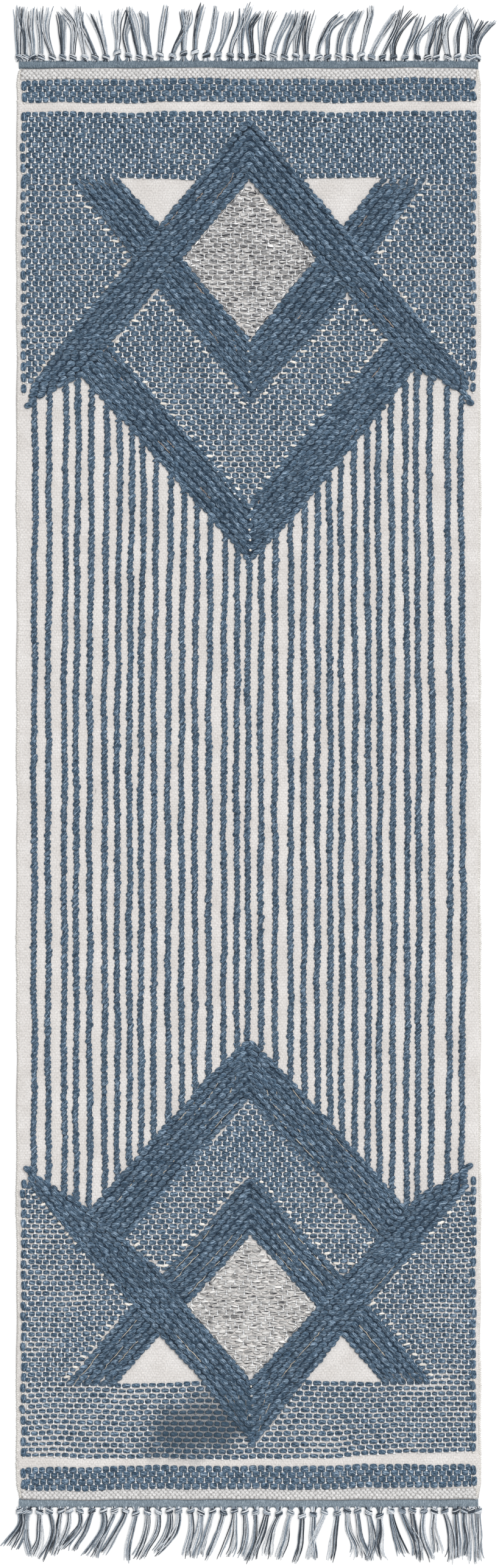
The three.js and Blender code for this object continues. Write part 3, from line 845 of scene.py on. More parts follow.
# %% Weft, warps and feet of one end
FILL = {"border": 1.08, "full": 1.08, "side": 1.08, "heart": 1.01}  # a float's width, in rows
NEAR_FILL = {"border": 0.06, "full": -0.21, "side": -0.13, "heart": -0.06}  # more or less of it there
THIN_SHARE = {"far": 0.18, "near": 0.26}
FLOAT_MIDDLE, FLOAT_THICK, FLOAT_GAP = 3.55, 3.6, 0.6
BORDER_LIFT = 0.35  # the border's floats lie this much higher
WARP_MIDDLE, WARP_THICK = 4.35, 2.2
WARP_WIDE, BORDER_WARP_WIDE = {"far": 1.8, "near": 1.45}, 1.3
FOOT_MIDDLE, FOOT_LONG, FOOT_WIDE, FOOT_THICK = 4.9, 3.6, 3.8, 1.2
UPRIGHT = math.pi / 2


def thin_places(x, y):
    """From 0 to 1, where the weft is thin and the white shows: products of slow waves."""
    wave = np.sin(x / 37 + 1.3 * np.sin(y / 53)) * np.sin(y / 19 + x / 71 + 2)
    spots = np.sin(x / 23 + 2 * np.sin(y / 31)) * np.sin(y / 11 + x / 47)
    return np.clip(wave - 0.25, 0, 1) + 1.4 * np.clip(spots - 0.72, 0, 1)


def float_width(end, part, x, y):
    """Width of each float: its field's fill less the thin places, times the rows' pitch. At the
    near end the outer fields thin out towards the selvedges, and the heart is full in its middle."""
    thin = thin_places(x, y) * THIN_SHARE[end] * (part != "border")
    full = FILL[part]
    if end == "near":
        full = full + NEAR_FILL[part]
        full = full - 0.12 * np.clip((np.abs(x) - 120) / 230, 0, 1) * (part in ("full", "side"))
        full = full + 0.16 * np.exp(-((x / 80) ** 2)) * (part == "heart")
    return ROW_PITCH[part] * (full - thin + stray(0.035, len(x)))


def field_stitches(end, part):
    """The brick-laid stitches of one field, cut off where its region ends."""
    x, y, shown, length = brick_rows(FIELD_ROWS[end][part], end)
    if part == "border":
        return x, y, shown, length
    inside = in_field(end, x - 0.3 * length, y) | in_field(end, x + 0.3 * length, y)
    above = y > GATE[end]
    inner = place_in(end, x, y)["under_wide"]
    keep = inside & {"full": above, "side": ~above & ~inner, "heart": ~above & inner}[part]
    return x[keep], y[keep], shown[keep], length[keep]


def weave_field(end):
    """All weft floats of one end, with the warp line at the left of each and its foot."""
    weft, warps, feet = [], [], []
    for part, pitch in ROW_PITCH.items():
        x, y, shown, length = field_stitches(end, part)
        top = BORDER_LIFT if part == "border" else 0
        width, count = float_width(end, part, x, y), len(x)
        weft.append(lay(
            pebble, x, shown, FLOAT_MIDDLE + top, length - FLOAT_GAP, width, FLOAT_THICK + 2 * top,
            turn=stray(0.05, count), arch=0.5, rise=stray(0.12, count), taper=stray(0.06, count),
        ))
        left = x - length / 2
        seen = left > 1 - SIDE_TURN
        left, shown, count = left[seen], shown[seen], seen.sum()
        line_wide = BORDER_WARP_WIDE if part == "border" else WARP_WIDE[end]
        warps.append(lay(
            float_line, left, shown + 0.2, WARP_MIDDLE + top, pitch * 0.95, line_wide, WARP_THICK,
            turn=UPRIGHT + stray(0.05, count), arch=0.7,
        ))
        size = (0.6 if part == "border" else 0.8) + 0.4 * chance.random(count)
        feet.append(lay(
            foot_wedge, left, shown - pitch * 0.36, FOOT_MIDDLE + top, FOOT_LONG * size, FOOT_WIDE * size,
            FOOT_THICK, turn=UPRIGHT + stray(0.1, count), taper=-0.8,
        ))
    return weft, warps + feet


for end in ENDS:
    weft, warps = weave_field(end)
    sew(f"weft_{end}", weft, blue_wool, "blue_wool")
    sew(f"warps_{end}", warps, white_warp, "white_wool")

# %% [markdown]
# ## Side turns
# At the end of every second row the weft turns back round the last warps. Each
# turn is an upright stitch two rows tall, so both selvedges carry a column of
# blue beads. A strip of white cloth outside them shows the fine weft's own
# turns, which are modelled as small ribs.

# %% Side turns and selvedge ribs
TURN_X, TURN_MIDDLE, TURN_WIDE, TURN_THICK = 369.2, 3.9, 9.2, 4.4
RIB_X, RIB_STEP = 378.2, 3.05
TURN_FOOT, RIB = (3.6, 5.5, 3.6, 2.4), (1.75, 7.5, 4.0, 2.2)  # middle height, length, width, thickness


def side_turns(end):
    """Upright stitches at both selvedges, each half a row past every second row, and a white
    foot one row below each."""
    turns, feet = [], []
    for part in ("border", "full", "side"):
        rows, pitch = np.array(FIELD_ROWS[end][part], float), ROW_PITCH[part]
        half_row = pitch / 2 * np.sign(rows[1] - rows[0])
        rows = rows[::2]
        for side in (-1, 1):
            x = np.full(len(rows), side * TURN_X) + stray(0.8, len(rows))
            y = END_SIGN[end] * (rows + half_row)
            y = y + SLANT[end] * x + row_wave(x, y)
            turn, length = UPRIGHT + stray(0.12, len(x)), pitch * 1.8
            turns.append(lay(pebble, x, y, TURN_MIDDLE, length, TURN_WIDE, TURN_THICK, turn=turn, arch=0.5))
            feet.append(lay(foot_bead, x + 0.5 * side, y - pitch, *TURN_FOOT, tone=np.ones(len(x))))
    return turns, feet


def selvedge_ribs(side):
    """Small ribs square to a selvedge, which follow its waves and its drawn-in corners."""
    y = np.arange(-CLOTH_HALF[1] + 3, CLOTH_HALF[1] - 2, RIB_STEP)
    drawn = RIB_X - corner_pull(y) + stray(0.3, len(y))
    x = side * (drawn + 0.8 * np.sin(y / 61) + 0.6 * np.sin(y / 23))
    return lay(foot_bead, x, y, *RIB, turn=0.1 * side)


turn_feet = []
for end in ENDS:
    turns, feet = side_turns(end)
    turn_feet += feet
    sew(f"side_turns_{end}", turns, blue_wool, "blue_wool")
ribs = [selvedge_ribs(side) for side in (-1, 1)]
sew("selvedge_ribs", ribs + turn_feet, selvedge_warp, "white_wool")

# %% [markdown]
# ## The chevron bands
# A band is a row of cables, each a column of slanted stitches, up to seven of
# them side by side, as its width allows. In each weft row the weaver lays one
# stitch for each cable, all leaning the way the arm runs. Where two bands cross,
# the wide one lies on top. Under the stitches lies a bed of the same wool, painted
# darker as the shade in the gaps between them, so that the gaps look deep.

# %% Band stitches
BAND_ROW = 8.5
STITCH_SPACE = 14.2
CABLES = 6  # at a band's usual width, with one more where it is widest
TIP_SLOPE = 0.85  # how fast the carried-on edge moves across, for each step along the rug
LOW_TRIM, HIGH_TRIM = 4, 5  # the first and last rows lie this far inside an arm's ends
STITCH_LONG, STITCH_WIDE, STITCH_THICK = 15.3, 9.6, 4.8
STITCH_DROP = 2.55  # a stitch's middle lies this far below the band's top
TILT, CROSSING_TILT = 0.46, 0.34  # in radians: the stitches lie flatter where bands cross
BAND_WAVE = 0.6  # the bands follow this share of the rows' waves
band_stitch = unit_stitch(4, 6, 2.8)


def arm_rows(band, side):
    """The stitches of one arm: places across the rug and heights, row by row. Past the inner
    edge's apex that edge is carried on over the middle line, so that the cables stay parallel
    until they meet the other arm's, and only stitches on the arm's own side are kept."""
    low = min(arm(band[edge], side)[1, 0] for edge in ("outer", "inner")) + LOW_TRIM
    high = max(arm(band[edge], side)[1, -1] for edge in ("outer", "inner")) - HIGH_TRIM
    rows = np.linspace(low, high, round((high - low) / BAND_ROW) + 1)
    outer, inner = (edge_x(band[edge], rows, side) for edge in ("outer", "inner"))
    tip_x, tip_y = apex(band["inner"])
    past = np.maximum((rows - tip_y) * np.sign(apex(band["outer"])[1] - tip_y), 0)
    outer, inner = outer[:, None], (inner - side * TIP_SLOPE * past)[:, None]
    count = np.clip(np.round(np.abs(outer - inner) / STITCH_SPACE), 1, CABLES + 1)
    column = np.arange(CABLES + 1)[None]
    x = outer + (inner - outer) * (column + 0.5) / count
    keep = (column < count) & ((x - tip_x) * side > -1.5)
    return x[keep], np.broadcast_to(rows[:, None], x.shape)[keep]


def band_stitches(end, name):
    """Both arms of a band, each stitch tilted down its arm. The wide band's stitches lie flatter
    where it crosses another one, and the others stop a little inside the wide band's edge."""
    band, parts = BANDS[end][name], []
    for side in (-1, 1):
        x, row = arm_rows(band, side)
        if name == "wide":
            flat = in_band(end, "cut", x, row) | in_band(end, "long", x, row)
        else:
            under = in_band(end, "wide", x, row, -5)
            x, row = x[~under], row[~under]
            flat = np.zeros(len(x), bool)
        count = len(x)
        tilt = np.where(flat, CROSSING_TILT, TILT) + stray(0.07, count)
        lean = side * END_SIGN[end] * (-1 if points_up(band) else 1)
        shown = on_rug(end, x, row, BAND_WAVE)
        lift = band["top"] - STITCH_DROP + stray(0.3, count)
        parts.append(lay(
            band_stitch, x + stray(0.55, count), shown + stray(0.4, count), lift,
            STITCH_LONG + stray(0.9, count), STITCH_WIDE + stray(0.6, count), STITCH_THICK,
            turn=lean * tilt, arch=0.5, rise=stray(0.45, count), taper=stray(0.12, count),
        ))
    return parts


# %% Beds of the bands
BED_REACH = 0.95
BED_LOW, BED_RIM, BED_DROP = 1.6, 2.6, 4.9  # its underside, its rim, and its crown below the band's top


def band_bed(end, name):
    """A pad dark with painted shade, which follows the band's two edges a little inside them.
    Its height is its rim plus its crown times 1 - |2u - 1|^4, where u goes from edge to edge."""
    band = BANDS[end][name]
    share, across = np.linspace(-1, 1, 61), np.linspace(0.05, 0.95, 7)

    def run(line):
        """Points along an edge, evenly spaced on each of its two arms."""
        x = np.interp(BED_REACH * share, [-1, 0, 1], [line[0][0], apex(line)[0], line[-1][0]])
        return np.stack([x, edge_y(line, x)], -1)[:, None]

    out, inn = run(band["outer"]), run(band["inner"])
    x, y = np.moveaxis(out + (inn - out) * across[None, :, None], 2, 0)
    y = on_rug(end, x, y, BAND_WAVE)
    crown = 1 - np.abs(2 * across - 1) ** 4
    top = np.stack([x, y, BED_RIM + (band["top"] - BED_DROP) * crown + 0 * x], -1)
    low = np.stack([x, y, 0 * x + BED_LOW], -1)
    if points_up(band) == (end == "far"):
        top, low = top[:, ::-1], low[:, ::-1]
    return quilt(top.transpose(1, 0, 2), low.transpose(1, 0, 2))


for end in ENDS:
    sew(f"bands_{end}", [p for name in BANDS[end] for p in band_stitches(end, name)], blue_band, "blue_wool")
    # the beds are dark with painted shade for the gaps between the stitches
    sew(f"band_beds_{end}", [band_bed(end, name) for name in BANDS[end]], painted_shade_bed, "blue_wool")

# %% [markdown]
# Small things tell that a band is worked by hand. Pale bits of the ground yarn
# show where the weft turns back beside a band and on the middle line of each V,
# and a few fine tan threads lie in the grooves between the cables.

# %% Pale bits
nub = unit_stitch(2, 5, 2.6)
TIP_BITS = {"cut": (24, 6, 17.3), "long": (24, 6, 17.3), "wide": (12, -36, 15.5)}  # start, end, step
BIT_BESIDE, BIT_ON_TIP = (11.5, 4.8), (4.5, 4.0)  # length and width beside a band, and on a V
BIT_LOW = 4.7  # height of the bits beside a band


def tip_bits(end, name):
    """Bits along a V's middle line, from its lower edge's apex to its upper edge's."""
    band = BANDS[end][name]
    tips = sorted((apex(band[edge]) for edge in ("outer", "inner")), key=lambda point: point[1])
    (tip_x, low), (_, high) = tips
    start, stop, step = TIP_BITS[name]
    tip = np.arange(low + start, high + stop, step)
    return tip_x + stray(1.2, len(tip)), tip, np.full(len(tip), band["top"] - 1.2)


def side_bits(end, part, name, edge, side, way):
    """Bits 4 mm to one side of a band's edge, beside every second row of a blue field."""
    rows, line = FIELD_ROWS[end][part][::2], BANDS[end][name][edge]
    heights = arm(line, side)[1]
    spot = edge_x(line, rows, side) + way * 4.0
    in_heart = place_in(end, spot, rows)["under_wide"]
    keep = in_field(end, spot + way * 5, rows) & (in_heart == (part == "heart"))
    keep &= (rows > heights[0]) & (rows < heights[-1]) & (np.abs(spot) > 6) & (np.abs(spot) < 350)
    return spot[keep], rows[keep] - 0.5 * BAND_ROW, BIT_LOW + 0.3 * chance.random(keep.sum())


def pale_bits(end):
    """All bits of one end, each slightly turned and uneven in size."""
    places = [tip_bits(end, name) for name in (("cut", "long") if end == "far" else ("wide",))]
    edges = (("wide", "outer"), ("wide", "inner"), ("cut", "outer"), ("long", "inner"))
    edges = edges if end == "far" else edges[:3]
    places += [side_bits(end, part, name, edge, side, way)
               for part in ("side", "heart") for name, edge in edges for side in (-1, 1) for way in (-1, 1)]
    x, y, top = (np.concatenate(v) for v in zip(*places))
    shown = on_rug(end, x, y)
    beside = (top < 5.2).astype(int)
    length, width = (np.choose(beside, pair) for pair in zip(BIT_ON_TIP, BIT_BESIDE))
    length = length * (1 + stray(0.18, len(x)))
    width = width * (1 + stray(0.12, len(x)))
    return lay(nub, x, shown, top, length, width, 2.2, turn=stray(0.25, len(x)))


# %% Threads
THREADS = {"far": (6, 26), "near": (18, 60)}  # on each arm, and how long they may be
THREAD_STEPS = 10


def cable_threads(end, name):
    """Threads in the grooves: each follows the line between two cables for a short way, and
    those that would run into a crossing band are left out."""
    band, paths = BANDS[end][name], []
    count, length = THREADS[end]
    low, high = sorted((apex(band["outer"])[1], band["inner"][-1][1]))
    others = [other for other in BANDS[end] if (other == "wide") != (name == "wide")]
    for side in (-1, 1):
        share = chance.integers(1, CABLES, count)[:, None] / CABLES
        start = low + 60 + (high - low - 110) * chance.random((count, 1))
        y = start + np.linspace(0, 1, THREAD_STEPS) * length * (0.4 + 0.6 * chance.random((count, 1)))
        outer, inner = (edge_x(band[edge], y, side) for edge in ("outer", "inner"))
        x = outer + (inner - outer) * share + stray(0.8, y.shape)
        z = band["top"] - 1.9 + stray(0.8, y.shape)
        clear = ~sum(in_band(end, other, x, y, 6) for other in others).astype(bool).any(1)
        x, y, z = x[clear], y[clear], z[clear]
        paths.append(np.stack([x, END_SIGN[end] * y + SLANT[end] * x, z], -1))
    paths = np.concatenate(paths)
    return spin(paths, 0.4 + 0.45 * chance.random(paths.shape[:2]))


for end in ENDS:
    sew(f"pale_bits_{end}", [pale_bits(end)], raw_warp, "white_wool")
    threads = [cable_threads(end, name) for name in BANDS[end]]
    sew(f"cable_threads_{end}", threads, stray_yarn if end == "far" else stray_pale, "white_wool")

# %% [markdown]
# ## The wrapped stripes
# Each stripe is a warp bundle wrapped with blue yarn, so it looks like a rope:
# every wrap climbs to the right at about fifty degrees, and tucks under the
# next. A core, dark with painted shade, runs below the wraps. Here and there a short end sticks out.

# %% Stripes
WRAP_PITCH = 8.0
WRAP_TURN = math.radians(51)
WRAP_LONG, WRAP_WIDE, WRAP_THICK, WRAP_MIDDLE = 13.8, 8.4, 3.9, 4.25
CORE_RADIUS, CORE_FLAT, CORE_MIDDLE, CORE_STEPS = 4.0, 0.45, 3.0, 40
LOOSE_NUBS, LOOSE_REACH = 26, 420
STRIPE_NUB, LOOSE_NUB = (4.2, 6.5, 4.6, 3.2), (4.4, 6.0, 4.4, 3.0)  # middle height, length, width, thickness
wrap = unit_stitch(3, 6, 2.5)


def wrapped_stripe(index):
    """A stripe's wraps, one every pitch along its line, which swell and thin slowly, and the
    flat core below them."""
    low, high = -stripe_reach(index, "near"), stripe_reach(index, "far")
    count = int((high - low) / WRAP_PITCH)
    y = low + (np.arange(count) + 0.5) * (high - low) / count + stray(0.7, count)
    x = stripe_line(index, y) + stray(0.45, count)
    swell = 1 + 0.04 * np.sin(y / 37 + index) + stray(0.06, count)
    wraps = lay(
        wrap, x, y, WRAP_MIDDLE, WRAP_LONG * swell, WRAP_WIDE * swell, WRAP_THICK,
        turn=WRAP_TURN + stray(0.1, count), arch=0.9, rise=-0.3, taper=stray(0.08, count),
    )
    core_y = np.linspace(low + 2, high - 2, CORE_STEPS)
    core_path = np.stack([stripe_line(index, core_y), core_y, 0 * core_y + CORE_MIDDLE], -1)
    return wraps, spin(core_path[None], CORE_RADIUS, sides=6, flat=CORE_FLAT, tone=np.array([0.4]))


def beside_stripes(number, y, reach):
    """Places this far to one side of the numbered stripes' lines."""
    return np.array([stripe_line(i, v) for i, v in zip(number, y)]) + reach


def stripe_nubs(end):
    """The yarn's own end, a short stub on the outer side of each stripe just below the band."""
    number, side = np.arange(STRIPES), np.where(stripe_x < 0, -1, 1)
    y = END_SIGN[end] * (np.array([stripe_reach(i, end) for i in number]) - 13)
    turn = END_SIGN[end] * side * -0.7 + stray(0.3, STRIPES)
    return lay(nub, beside_stripes(number, y, 4.2 * side), y, *STRIPE_NUB, turn=turn)


def loose_nubs():
    """Stubs that stick out beside a stripe anywhere along it, on either side."""
    number, side = chance.integers(0, STRIPES, LOOSE_NUBS), chance.choice([-1, 1], LOOSE_NUBS)
    y = chance.uniform(-LOOSE_REACH, LOOSE_REACH, LOOSE_NUBS)
    turn, tone = stray(1.2, LOOSE_NUBS), np.full(LOOSE_NUBS, 0.1)
    return lay(nub, beside_stripes(number, y, 4.8 * side), y, *LOOSE_NUB, turn=turn, tone=tone)


wraps, cores = zip(*(wrapped_stripe(i) for i in range(STRIPES)))
sew("stripes_left", [*wraps[:17], stripe_nubs("far"), loose_nubs()], blue_wrap, "blue_wool")
sew("stripes_right", [*wraps[17:], stripe_nubs("near")], blue_wrap, "blue_wool")
# the cores are dark with painted shade, below the wraps
sew("stripe_cores", cores, painted_shade_bed, "blue_wool")

# %% [markdown]
# ## The marled lozenges
# Inside the crossing bands sits a lozenge woven from a yarn of white, grey and
# black fibres spun together. It is the same brick weave as the blue fields, with
# paler floats, and its weft turns back along the lozenge's slanting sides.

# %% Lozenges
LOZENGE_ROW = {"far": 8.68, "near": 8.3}
LOZENGE_GAP = {"far": 0.6, "near": 0}  # between two floats of a row
WARPS_SEEN = {"far": 1.0, "near": 0.6}
MARLED_MIDDLE, MARLED_THICK = 3.5, 2.7
TURN_LEAN = 0.9  # in radians: the edge turns lie along the lozenge's sides
EDGE_TURN, MARLED_FOOT = (4.0, 12, 4.6, 3.6), (3.7, 5.0, 2.8, 2.2)  # middle height, length, width, thickness


def lozenge_turns(end, rows):
    """Short stitches just inside the lozenge's four sides, at every second row."""
    turns = []
    for side in (-1, 1):
        for name, lean in (("wide", -1), ("cut", 1)):
            y = rows[::2] + 3
            x = edge_x(BANDS[end][name]["inner"], y, side) - 2 * side
            keep = (np.abs(x) > 8) & in_lozenge(end, x - 3 * side, y)
            x, y = x[keep], y[keep]
            turn = END_SIGN[end] * side * lean * TURN_LEAN
            turns.append(lay(pebble, x, on_rug(end, x, y), *EDGE_TURN, turn=turn))
    return turns


def lozenge(end):
    """Brick-laid marled floats between the two bands' inner edges, with warp lines and feet."""
    bands, pitch = BANDS[end], LOZENGE_ROW[end]
    low, high = apex(bands["cut"]["inner"])[1] + 4, apex(bands["wide"]["inner"])[1] - 3
    rows = np.arange(high, low, -pitch)
    x, y, shown, length = brick_rows(rows, end)
    keep = in_lozenge(end, x, y)
    x, shown, length = x[keep], shown[keep], length[keep]
    count = len(x)
    weft = lay(
        pebble, x, shown, MARLED_MIDDLE, length - LOZENGE_GAP[end], pitch * (0.87 + stray(0.05, count)),
        MARLED_THICK, turn=stray(0.05, count), arch=0.5, taper=stray(0.06, count),
    )
    seen = chance.random(count) < WARPS_SEEN[end]
    left, shown = (x - length / 2)[seen], shown[seen]
    warps = lay(float_line, left, shown, 3.95, pitch * 0.9, 1.5, 2.1, turn=UPRIGHT, arch=0.7)
    feet = lay(foot_bead, left, shown - pitch * 0.46, *MARLED_FOOT)
    return [weft, *lozenge_turns(end, rows)], [warps, feet]


for end, finish in zip(ENDS, (marled, marled_light)):
    weft, warps = lozenge(end)
    sew(f"lozenge_{end}", weft, finish, "marled_wool")
    sew(f"lozenge_warps_{end}", warps, white_warp, "white_wool")

# %% [markdown]
# ## Bead weave and heading strip
# Outside the border rows the cloth ends in four rows of small pale beads. A
# ribbed grey-blue strip covers the cut warps beyond them. Its ribs are real
# relief: the height is a sine of the place across the rug.

# %% Bead weave
FIRST_BEADS, BEAD_ROW, BEAD_ROWS = 1160.5, 3.95, 4
BEAD_PITCH, BEADS_HALF = 7.45, 372.5
BEAD_SIZE = (3.1, 7.4, 5.4, 1.9)  # middle height, length, width, thickness
bead = unit_stitch(2, 6, 2.8)


def bead_place(end, x, y):
    """The rug's y of a place in the bead weave, which follows half of the rows' waves."""
    return END_SIGN[end] * y + 0.5 * row_wave(x, END_SIGN[end] * y)


def bead_bed(end):
    """A thin shaded layer under the beads, so that the gaps between them look deep."""
    x, y = np.meshgrid(np.linspace(-373, 373, 60), np.linspace(1158.6, 1176, 3))
    top, low = (np.stack([x, bead_place(end, x, y), 0 * x + z], -1) for z in (3.0, 2.0))
    return quilt(top, low) if end == "far" else quilt(top[::-1], low[::-1])


def bead_rows(end):
    """Rows of beads laid like bricks: every other row is half a bead further on."""
    row, number = np.arange(BEAD_ROWS)[:, None], np.arange(101)
    x = (-371 + BEAD_PITCH * number)[None] + 3.7 * (row % 2) + stray(0.35, (BEAD_ROWS, 101))
    y = np.broadcast_to(FIRST_BEADS + BEAD_ROW * row, x.shape) + stray(0.3, x.shape)
    keep = np.abs(x) < BEADS_HALF
    x, y = x[keep], y[keep]
    turn = stray(0.12, len(x))
    return lay(bead, x, bead_place(end, x, y), *BEAD_SIZE, turn=turn, arch=0.3)


for end in ENDS:
    sew(f"beads_{end}", [bead_rows(end)], pale_beads, "white_wool")
    sew(f"bead_bed_{end}", [bead_bed(end)], gap_shade, "white_wool")

# %% Tassel places
# Each tassel's knot place across the far end, and how its yarns lie: lean to the
# right at the tip, bow at half length, fan of the tips, length, and how far the
# knot is pushed out. All in millimetres.
TASSELS = np.array([
    (-377, -1, 0, 10, 82, 0), (-366.5, -5, 0, 12, 82, 0), (-354, -4, 0, 5, 75, 0),
    (-340.5, -4.5, 0, 4, 78, 0), (-322, -8, -8, 14, 80, 0), (-305, -4, 2, 15, 70, 0),
    (-288, -13, 6, 6, 80, 0), (-269, -11, -2, 5, 80, 0), (-252, -25, -6, 5, 75, 0),
    (-234, -19, 0, 20, 72, 0), (-215.5, 2, 0, 18, 72, 8), (-197, 2, -6, 4, 78, 3),
    (-179, -17, 0, 5, 79, 0), (-162, -14, 0, 16, 74, 0), (-145.5, 10, 0, 4, 78, 4),
    (-124.5, 27, 4, 5, 74, 2), (-106.5, 0, 1, 6, 72, 6), (-88, 12, -2, 5, 76, 8), (-69, 16, 3, 5, 76, 3),
    (-50, 18, 6, 13, 70, 4), (-30, 21, 1, 5, 75, 3), (-12, 14, -4, 5, 80, 2), (6, 7, -5, 5, 71, 2),
    (23, 12, -3, 18, 74, 0), (41, 26, 0, 5, 72, 3), (59, 20, 2, 5, 73, 0), (78, 14, -2, 6, 72, 3),
    (95, 8, -3, 12, 72, 0), (115, 35, -8, 5, 70, 0), (130, 22, -7, 6, 67, 0), (148, 26, -5, 6, 73, 2),
    (166, 20, -5, 6, 73, 2), (185, 14, 4, 5, 78, 4), (202, 39, 0, 6, 72, 0), (220, 31, 4, 6, 74, 0),
    (238, 32, -9, 8, 72, 0), (257, 25, 2, 6, 66, 0), (277, 30, -9, 7, 62, 0), (294, 23, -5, 8, 67, 0),
    (308, 13, 0, 5, 70, 0), (327, 15, -10, 8, 79, 0), (343, 10, -3, 6, 71, 2), (361, -2, 5, 8, 73, 0),
    (369, 16, -5, 8, 61, 0), (375.5, 25, -8, 12, 58, 0),
])
KNOT_LINE = 1194.0
knot_x, tassel_lean, tassel_bow, tassel_fan, tassel_length, knot_push = TASSELS.T
knot_y = KNOT_LINE + knot_push
print("tassels at each end:", len(TASSELS))


def at_end(points, end):
    """Turns points laid out for the far end half a turn about the middle for the near end."""
    return points * np.array([END_SIGN[end], END_SIGN[end], 1.0])


# %% Heading strip
RIB_PITCH, RIB_HIGH, STRIP_TOP = 3.0, 0.5, 2.2
STRIP_INNER, STRIP_OUTER, STRIP_HALF = 1174.6, 1188.8, 377
STRIP_POINTS = (1006, 5)  # across the rug, and from edge to edge of the strip


def heading_strip(end):
    """A tape whose top is a row of ribs, |sin| of the place across the rug. Its inner edge is
    finely waved, and its outer edge is drawn out to the pushed knots."""
    x, share = np.linspace(-STRIP_HALF, STRIP_HALF, STRIP_POINTS[0]), np.linspace(0, 1, STRIP_POINTS[1])
    pull = sum((1.2 + 0.9 * p) * np.exp(-(((x - k) / 5.6) ** 4)) for k, p in zip(knot_x, knot_push))
    inner = STRIP_INNER + 0.6 * np.sin(x / 31) + 0.4 * np.sin(x / 13)
    inner = inner + 1.1 * np.abs(np.sin(x / 1.31 + np.sin(x / 9)))
    outer = STRIP_OUTER + pull
    grid_y = inner[None] + (outer - inner)[None] * share[:, None]
    grid_x = np.broadcast_to(x, grid_y.shape)
    rib = np.abs(np.sin(math.pi * grid_x / RIB_PITCH + 0.4 * np.sin(grid_y / 5)))
    edge = 1 - (np.abs(2 * share - 1) ** 6)[:, None] * 0.7
    heights = ((STRIP_TOP + RIB_HIGH * rib) * edge, 0 * grid_x)
    top, low = (at_end(np.stack([grid_x, grid_y, z], -1), end) for z in heights)
    return quilt(top, low) if end == "far" else quilt(top[::-1, ::-1], low[::-1, ::-1])


for end in ENDS:
    sew(f"heading_{end}", [heading_strip(end)], heading[end], "heading_yarn")

# %% [markdown]
# ## Knots and tassels
# The warps are tied in bunches at the strip and hang on as tassels. A knot is a
# squat core with three strands slung over it; the core is dark slate, painted shade for the
# gaps between the strands. A tassel is nine thin yarns of white, blue-grey and dark slate
# that start together at the knot, lean and bow together, and part at the tips. The near
# fringe has the same tassels, turned half a turn, with waves and stray yarns of its own.

# %% Yarn colours of the fringe
fringe_white = wool("fringe_white", (170, 177, 184), (216, 220, 225), (240, 242, 243), 0.6, 4, 0.9, 0.1)
fringe_grey = wool("fringe_grey", (98, 110, 123), (136, 148, 160), (170, 181, 191), 0.6, 4, 0.9, 0.2)
fringe_slate = wool("fringe_slate", (28, 35, 44), (56, 66, 78), (92, 104, 117), 0.6, 4, 0.9, 0.25)

# %% Knots
knot_core = unit_stitch(3, 6, 2.2)
KNOT_HALF = 5.7
CORE_LONG, CORE_WIDE, CORE_THICK = 10.6, 8.6, 4.6
# a strand over a knot: bow outward, slope, rise over the top, height, yarns side by side
KNOT_STRANDS = ((3.0, 0.6, 1.0, 2.8, 3), (-2.7, 0.4, 0.9, 2.4, 2), (0.5, 2.4, 2.8, 2.3, 4))


def knots():
    """Cores, and over each of them three strands that run across it, in mm:
    x = half cos a, y = bow sin a + slope cos a, z = height + rise sin a, a from side to side."""
    count = len(knot_x)
    core_wide = CORE_WIDE + stray(0.5, count)
    core = lay(knot_core, knot_x, knot_y, 2.7, CORE_LONG, core_wide, CORE_THICK, turn=stray(0.15, count))
    angle = np.linspace(0.3, math.pi - 0.3, 8)[None]
    flip = chance.choice([-1, 1], count)[:, None]
    wobble = lambda size: stray(size, (count, 1))
    paths = []
    for bow, slope, rise, height, yarns in KNOT_STRANDS:
        for beside in np.arange(yarns) - (yarns - 1) / 2:
            x = (KNOT_HALF + wobble(0.4)) * np.cos(angle)
            y = (bow + wobble(0.4)) * np.sin(angle) + (slope + wobble(0.3)) * np.cos(angle) + 1.25 * beside
            z = height + rise * np.sin(angle) + 0 * x
            paths.append(np.stack([knot_x[:, None] + flip * x, knot_y[:, None] + y, z], -1))
    return core, np.concatenate(paths), chance.random(len(paths) * count)


# %% Tassels
YARNS = 9
STEPS = 11
STRAY_SHARE, TIP_STRAY = 0.12, 5.0  # yarns that leave their tassel, and how far
ROOT_WIDE = 6.0
NECK_START, NECK_YARNS = 1187.5, 5


def wide(values):
    """One value for each tassel, made ready to meet its yarns and their steps."""
    return values[:, None, None]


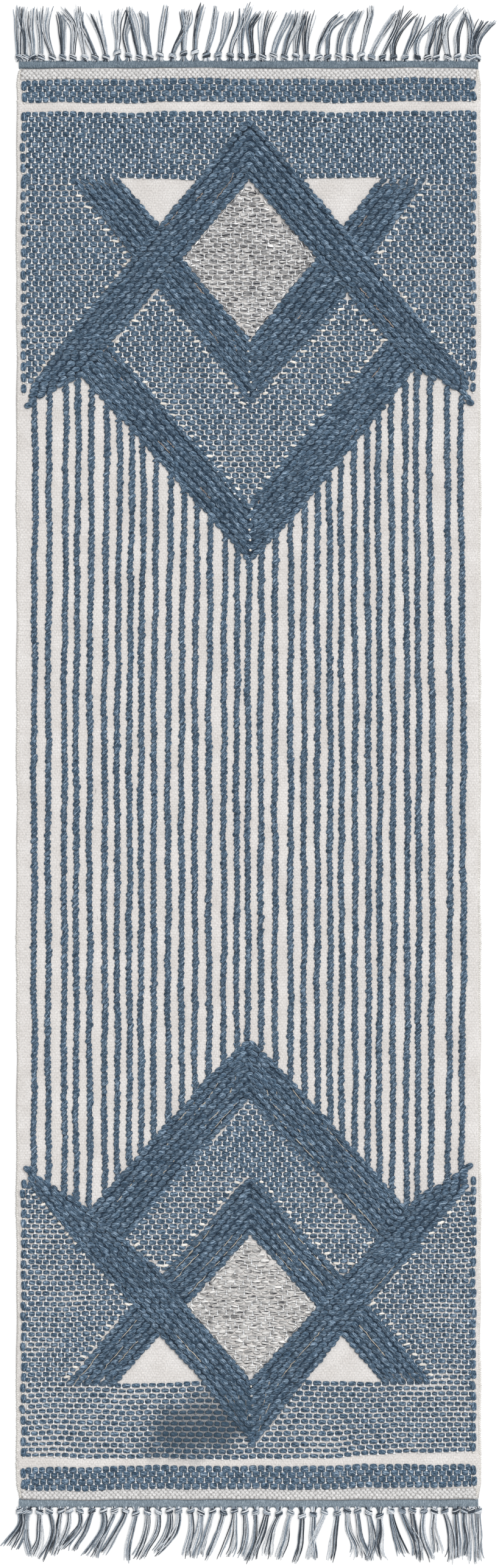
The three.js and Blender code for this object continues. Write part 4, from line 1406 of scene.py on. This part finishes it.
def tassel_yarns():
    """Yarn paths: lean and bow carry the whole tassel, the fan parts its yarns towards the
    tips, and each yarn adds small waves of its own. Returns paths and a number for its colour."""
    t = np.linspace(0, 1, STEPS)[None, None]
    own = lambda size: stray(size, (len(knot_x), YARNS, 1))
    part = np.linspace(-0.5, 0.5, YARNS)[None, :, None] + own(0.08)
    reach = wide(tassel_length) * (1 + own(0.045))
    strays = chance.random((len(knot_x), YARNS, 1)) < STRAY_SHARE
    waves = own(0.8) * np.sin(t * (7 + own(1.5)) + own(3)) * t + own(0.4) * np.sin(t * 17 + own(3)) * t
    waves = waves + strays * own(TIP_STRAY) * np.sin(2.6 * t) * t
    sway = wide(stray(1, len(knot_x))) * np.sin(t * 6.5 + wide(6 * chance.random(len(knot_x))))
    fan = ROOT_WIDE + 2 * np.sin(math.pi * t) + (0.9 * wide(tassel_fan) - 1) * t**2
    x = (wide(knot_x) + wide(tassel_lean) * t**1.25 + wide(tassel_bow) * np.sin(math.pi * t)
         + part * fan + waves + 2.2 * sway * t)
    y = wide(knot_y) + 3.0 + (reach - 3.0) * t
    stack = chance.random((len(knot_x), YARNS, 1))
    z = 1.1 + 2.9 * stack * (1 - 0.55 * t) + 0.5 * np.abs(own(0.5)) * np.sin(t * 9 + own(2)) ** 2
    paths = np.stack(np.broadcast_arrays(x, y, z), -1).reshape(-1, STEPS, 3)
    return paths, chance.random(len(paths))


def neck_yarns():
    """The warps between strip and knot: straight yarns that draw together to the knot."""
    spot = np.linspace(-1, 1, NECK_YARNS)[None, :, None] + stray(0.1, (len(knot_x), NECK_YARNS, 1))
    t = np.linspace(0, 1, 4)[None, None]
    x = wide(knot_x) + spot * (4.2 - 2.0 * t**0.6)
    y = NECK_START + (wide(knot_y) - 1.0 - NECK_START) * t + 0 * x
    z = 2.1 + 0.8 * np.sin(2.4 * t) + 0 * x
    paths = np.stack([x, y, z], -1).reshape(-1, 4, 3)
    return paths, 0.25 + 0.6 * chance.random(len(paths))


# %% Fringes
KNOT_YARN, NECK_YARN = 0.85, 1.1  # radii in mm
yarn_thick = np.interp(np.linspace(0, 1, STEPS), [0, 0.1, 0.85, 1], [0.78, 0.86, 0.8, 0.45])
# each colour's share of the yarns, as a range of the numbers that tell them apart
dyes = (("white", fringe_white, 0, 0.4), ("grey", fringe_grey, 0.4, 0.72), ("slate", fringe_slate, 0.72, 1))
for end in ENDS:
    core, *loops = knots()
    turned = lambda part: (at_end(part[0], end), *part[1:])
    # the knot cores wear the dark slate yarn as painted shade for the gaps between the strands
    sew(f"knots_{end}", [turned(core)], fringe_slate, "heading_yarn", f"fringe_{end}")
    kinds = ((*tassel_yarns(), yarn_thick[None]), (*loops, KNOT_YARN), (*neck_yarns(), NECK_YARN))
    for label, finish, low, high in dyes:
        parts = [spin(paths[(hue >= low) & (hue < high)], thick) for paths, hue, thick in kinds]
        sew(f"tassels_{label}_{end}", [turned(part) for part in parts], finish, "fringe_yarn")

# %% [markdown]
# ## The box of the pieces
# The box round every shown piece but the floor is printed, in millimetres.

# %% Finish
low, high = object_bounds()
print("visual box in mm:", [round(c / MM, 1) for c in (*low, *high)])
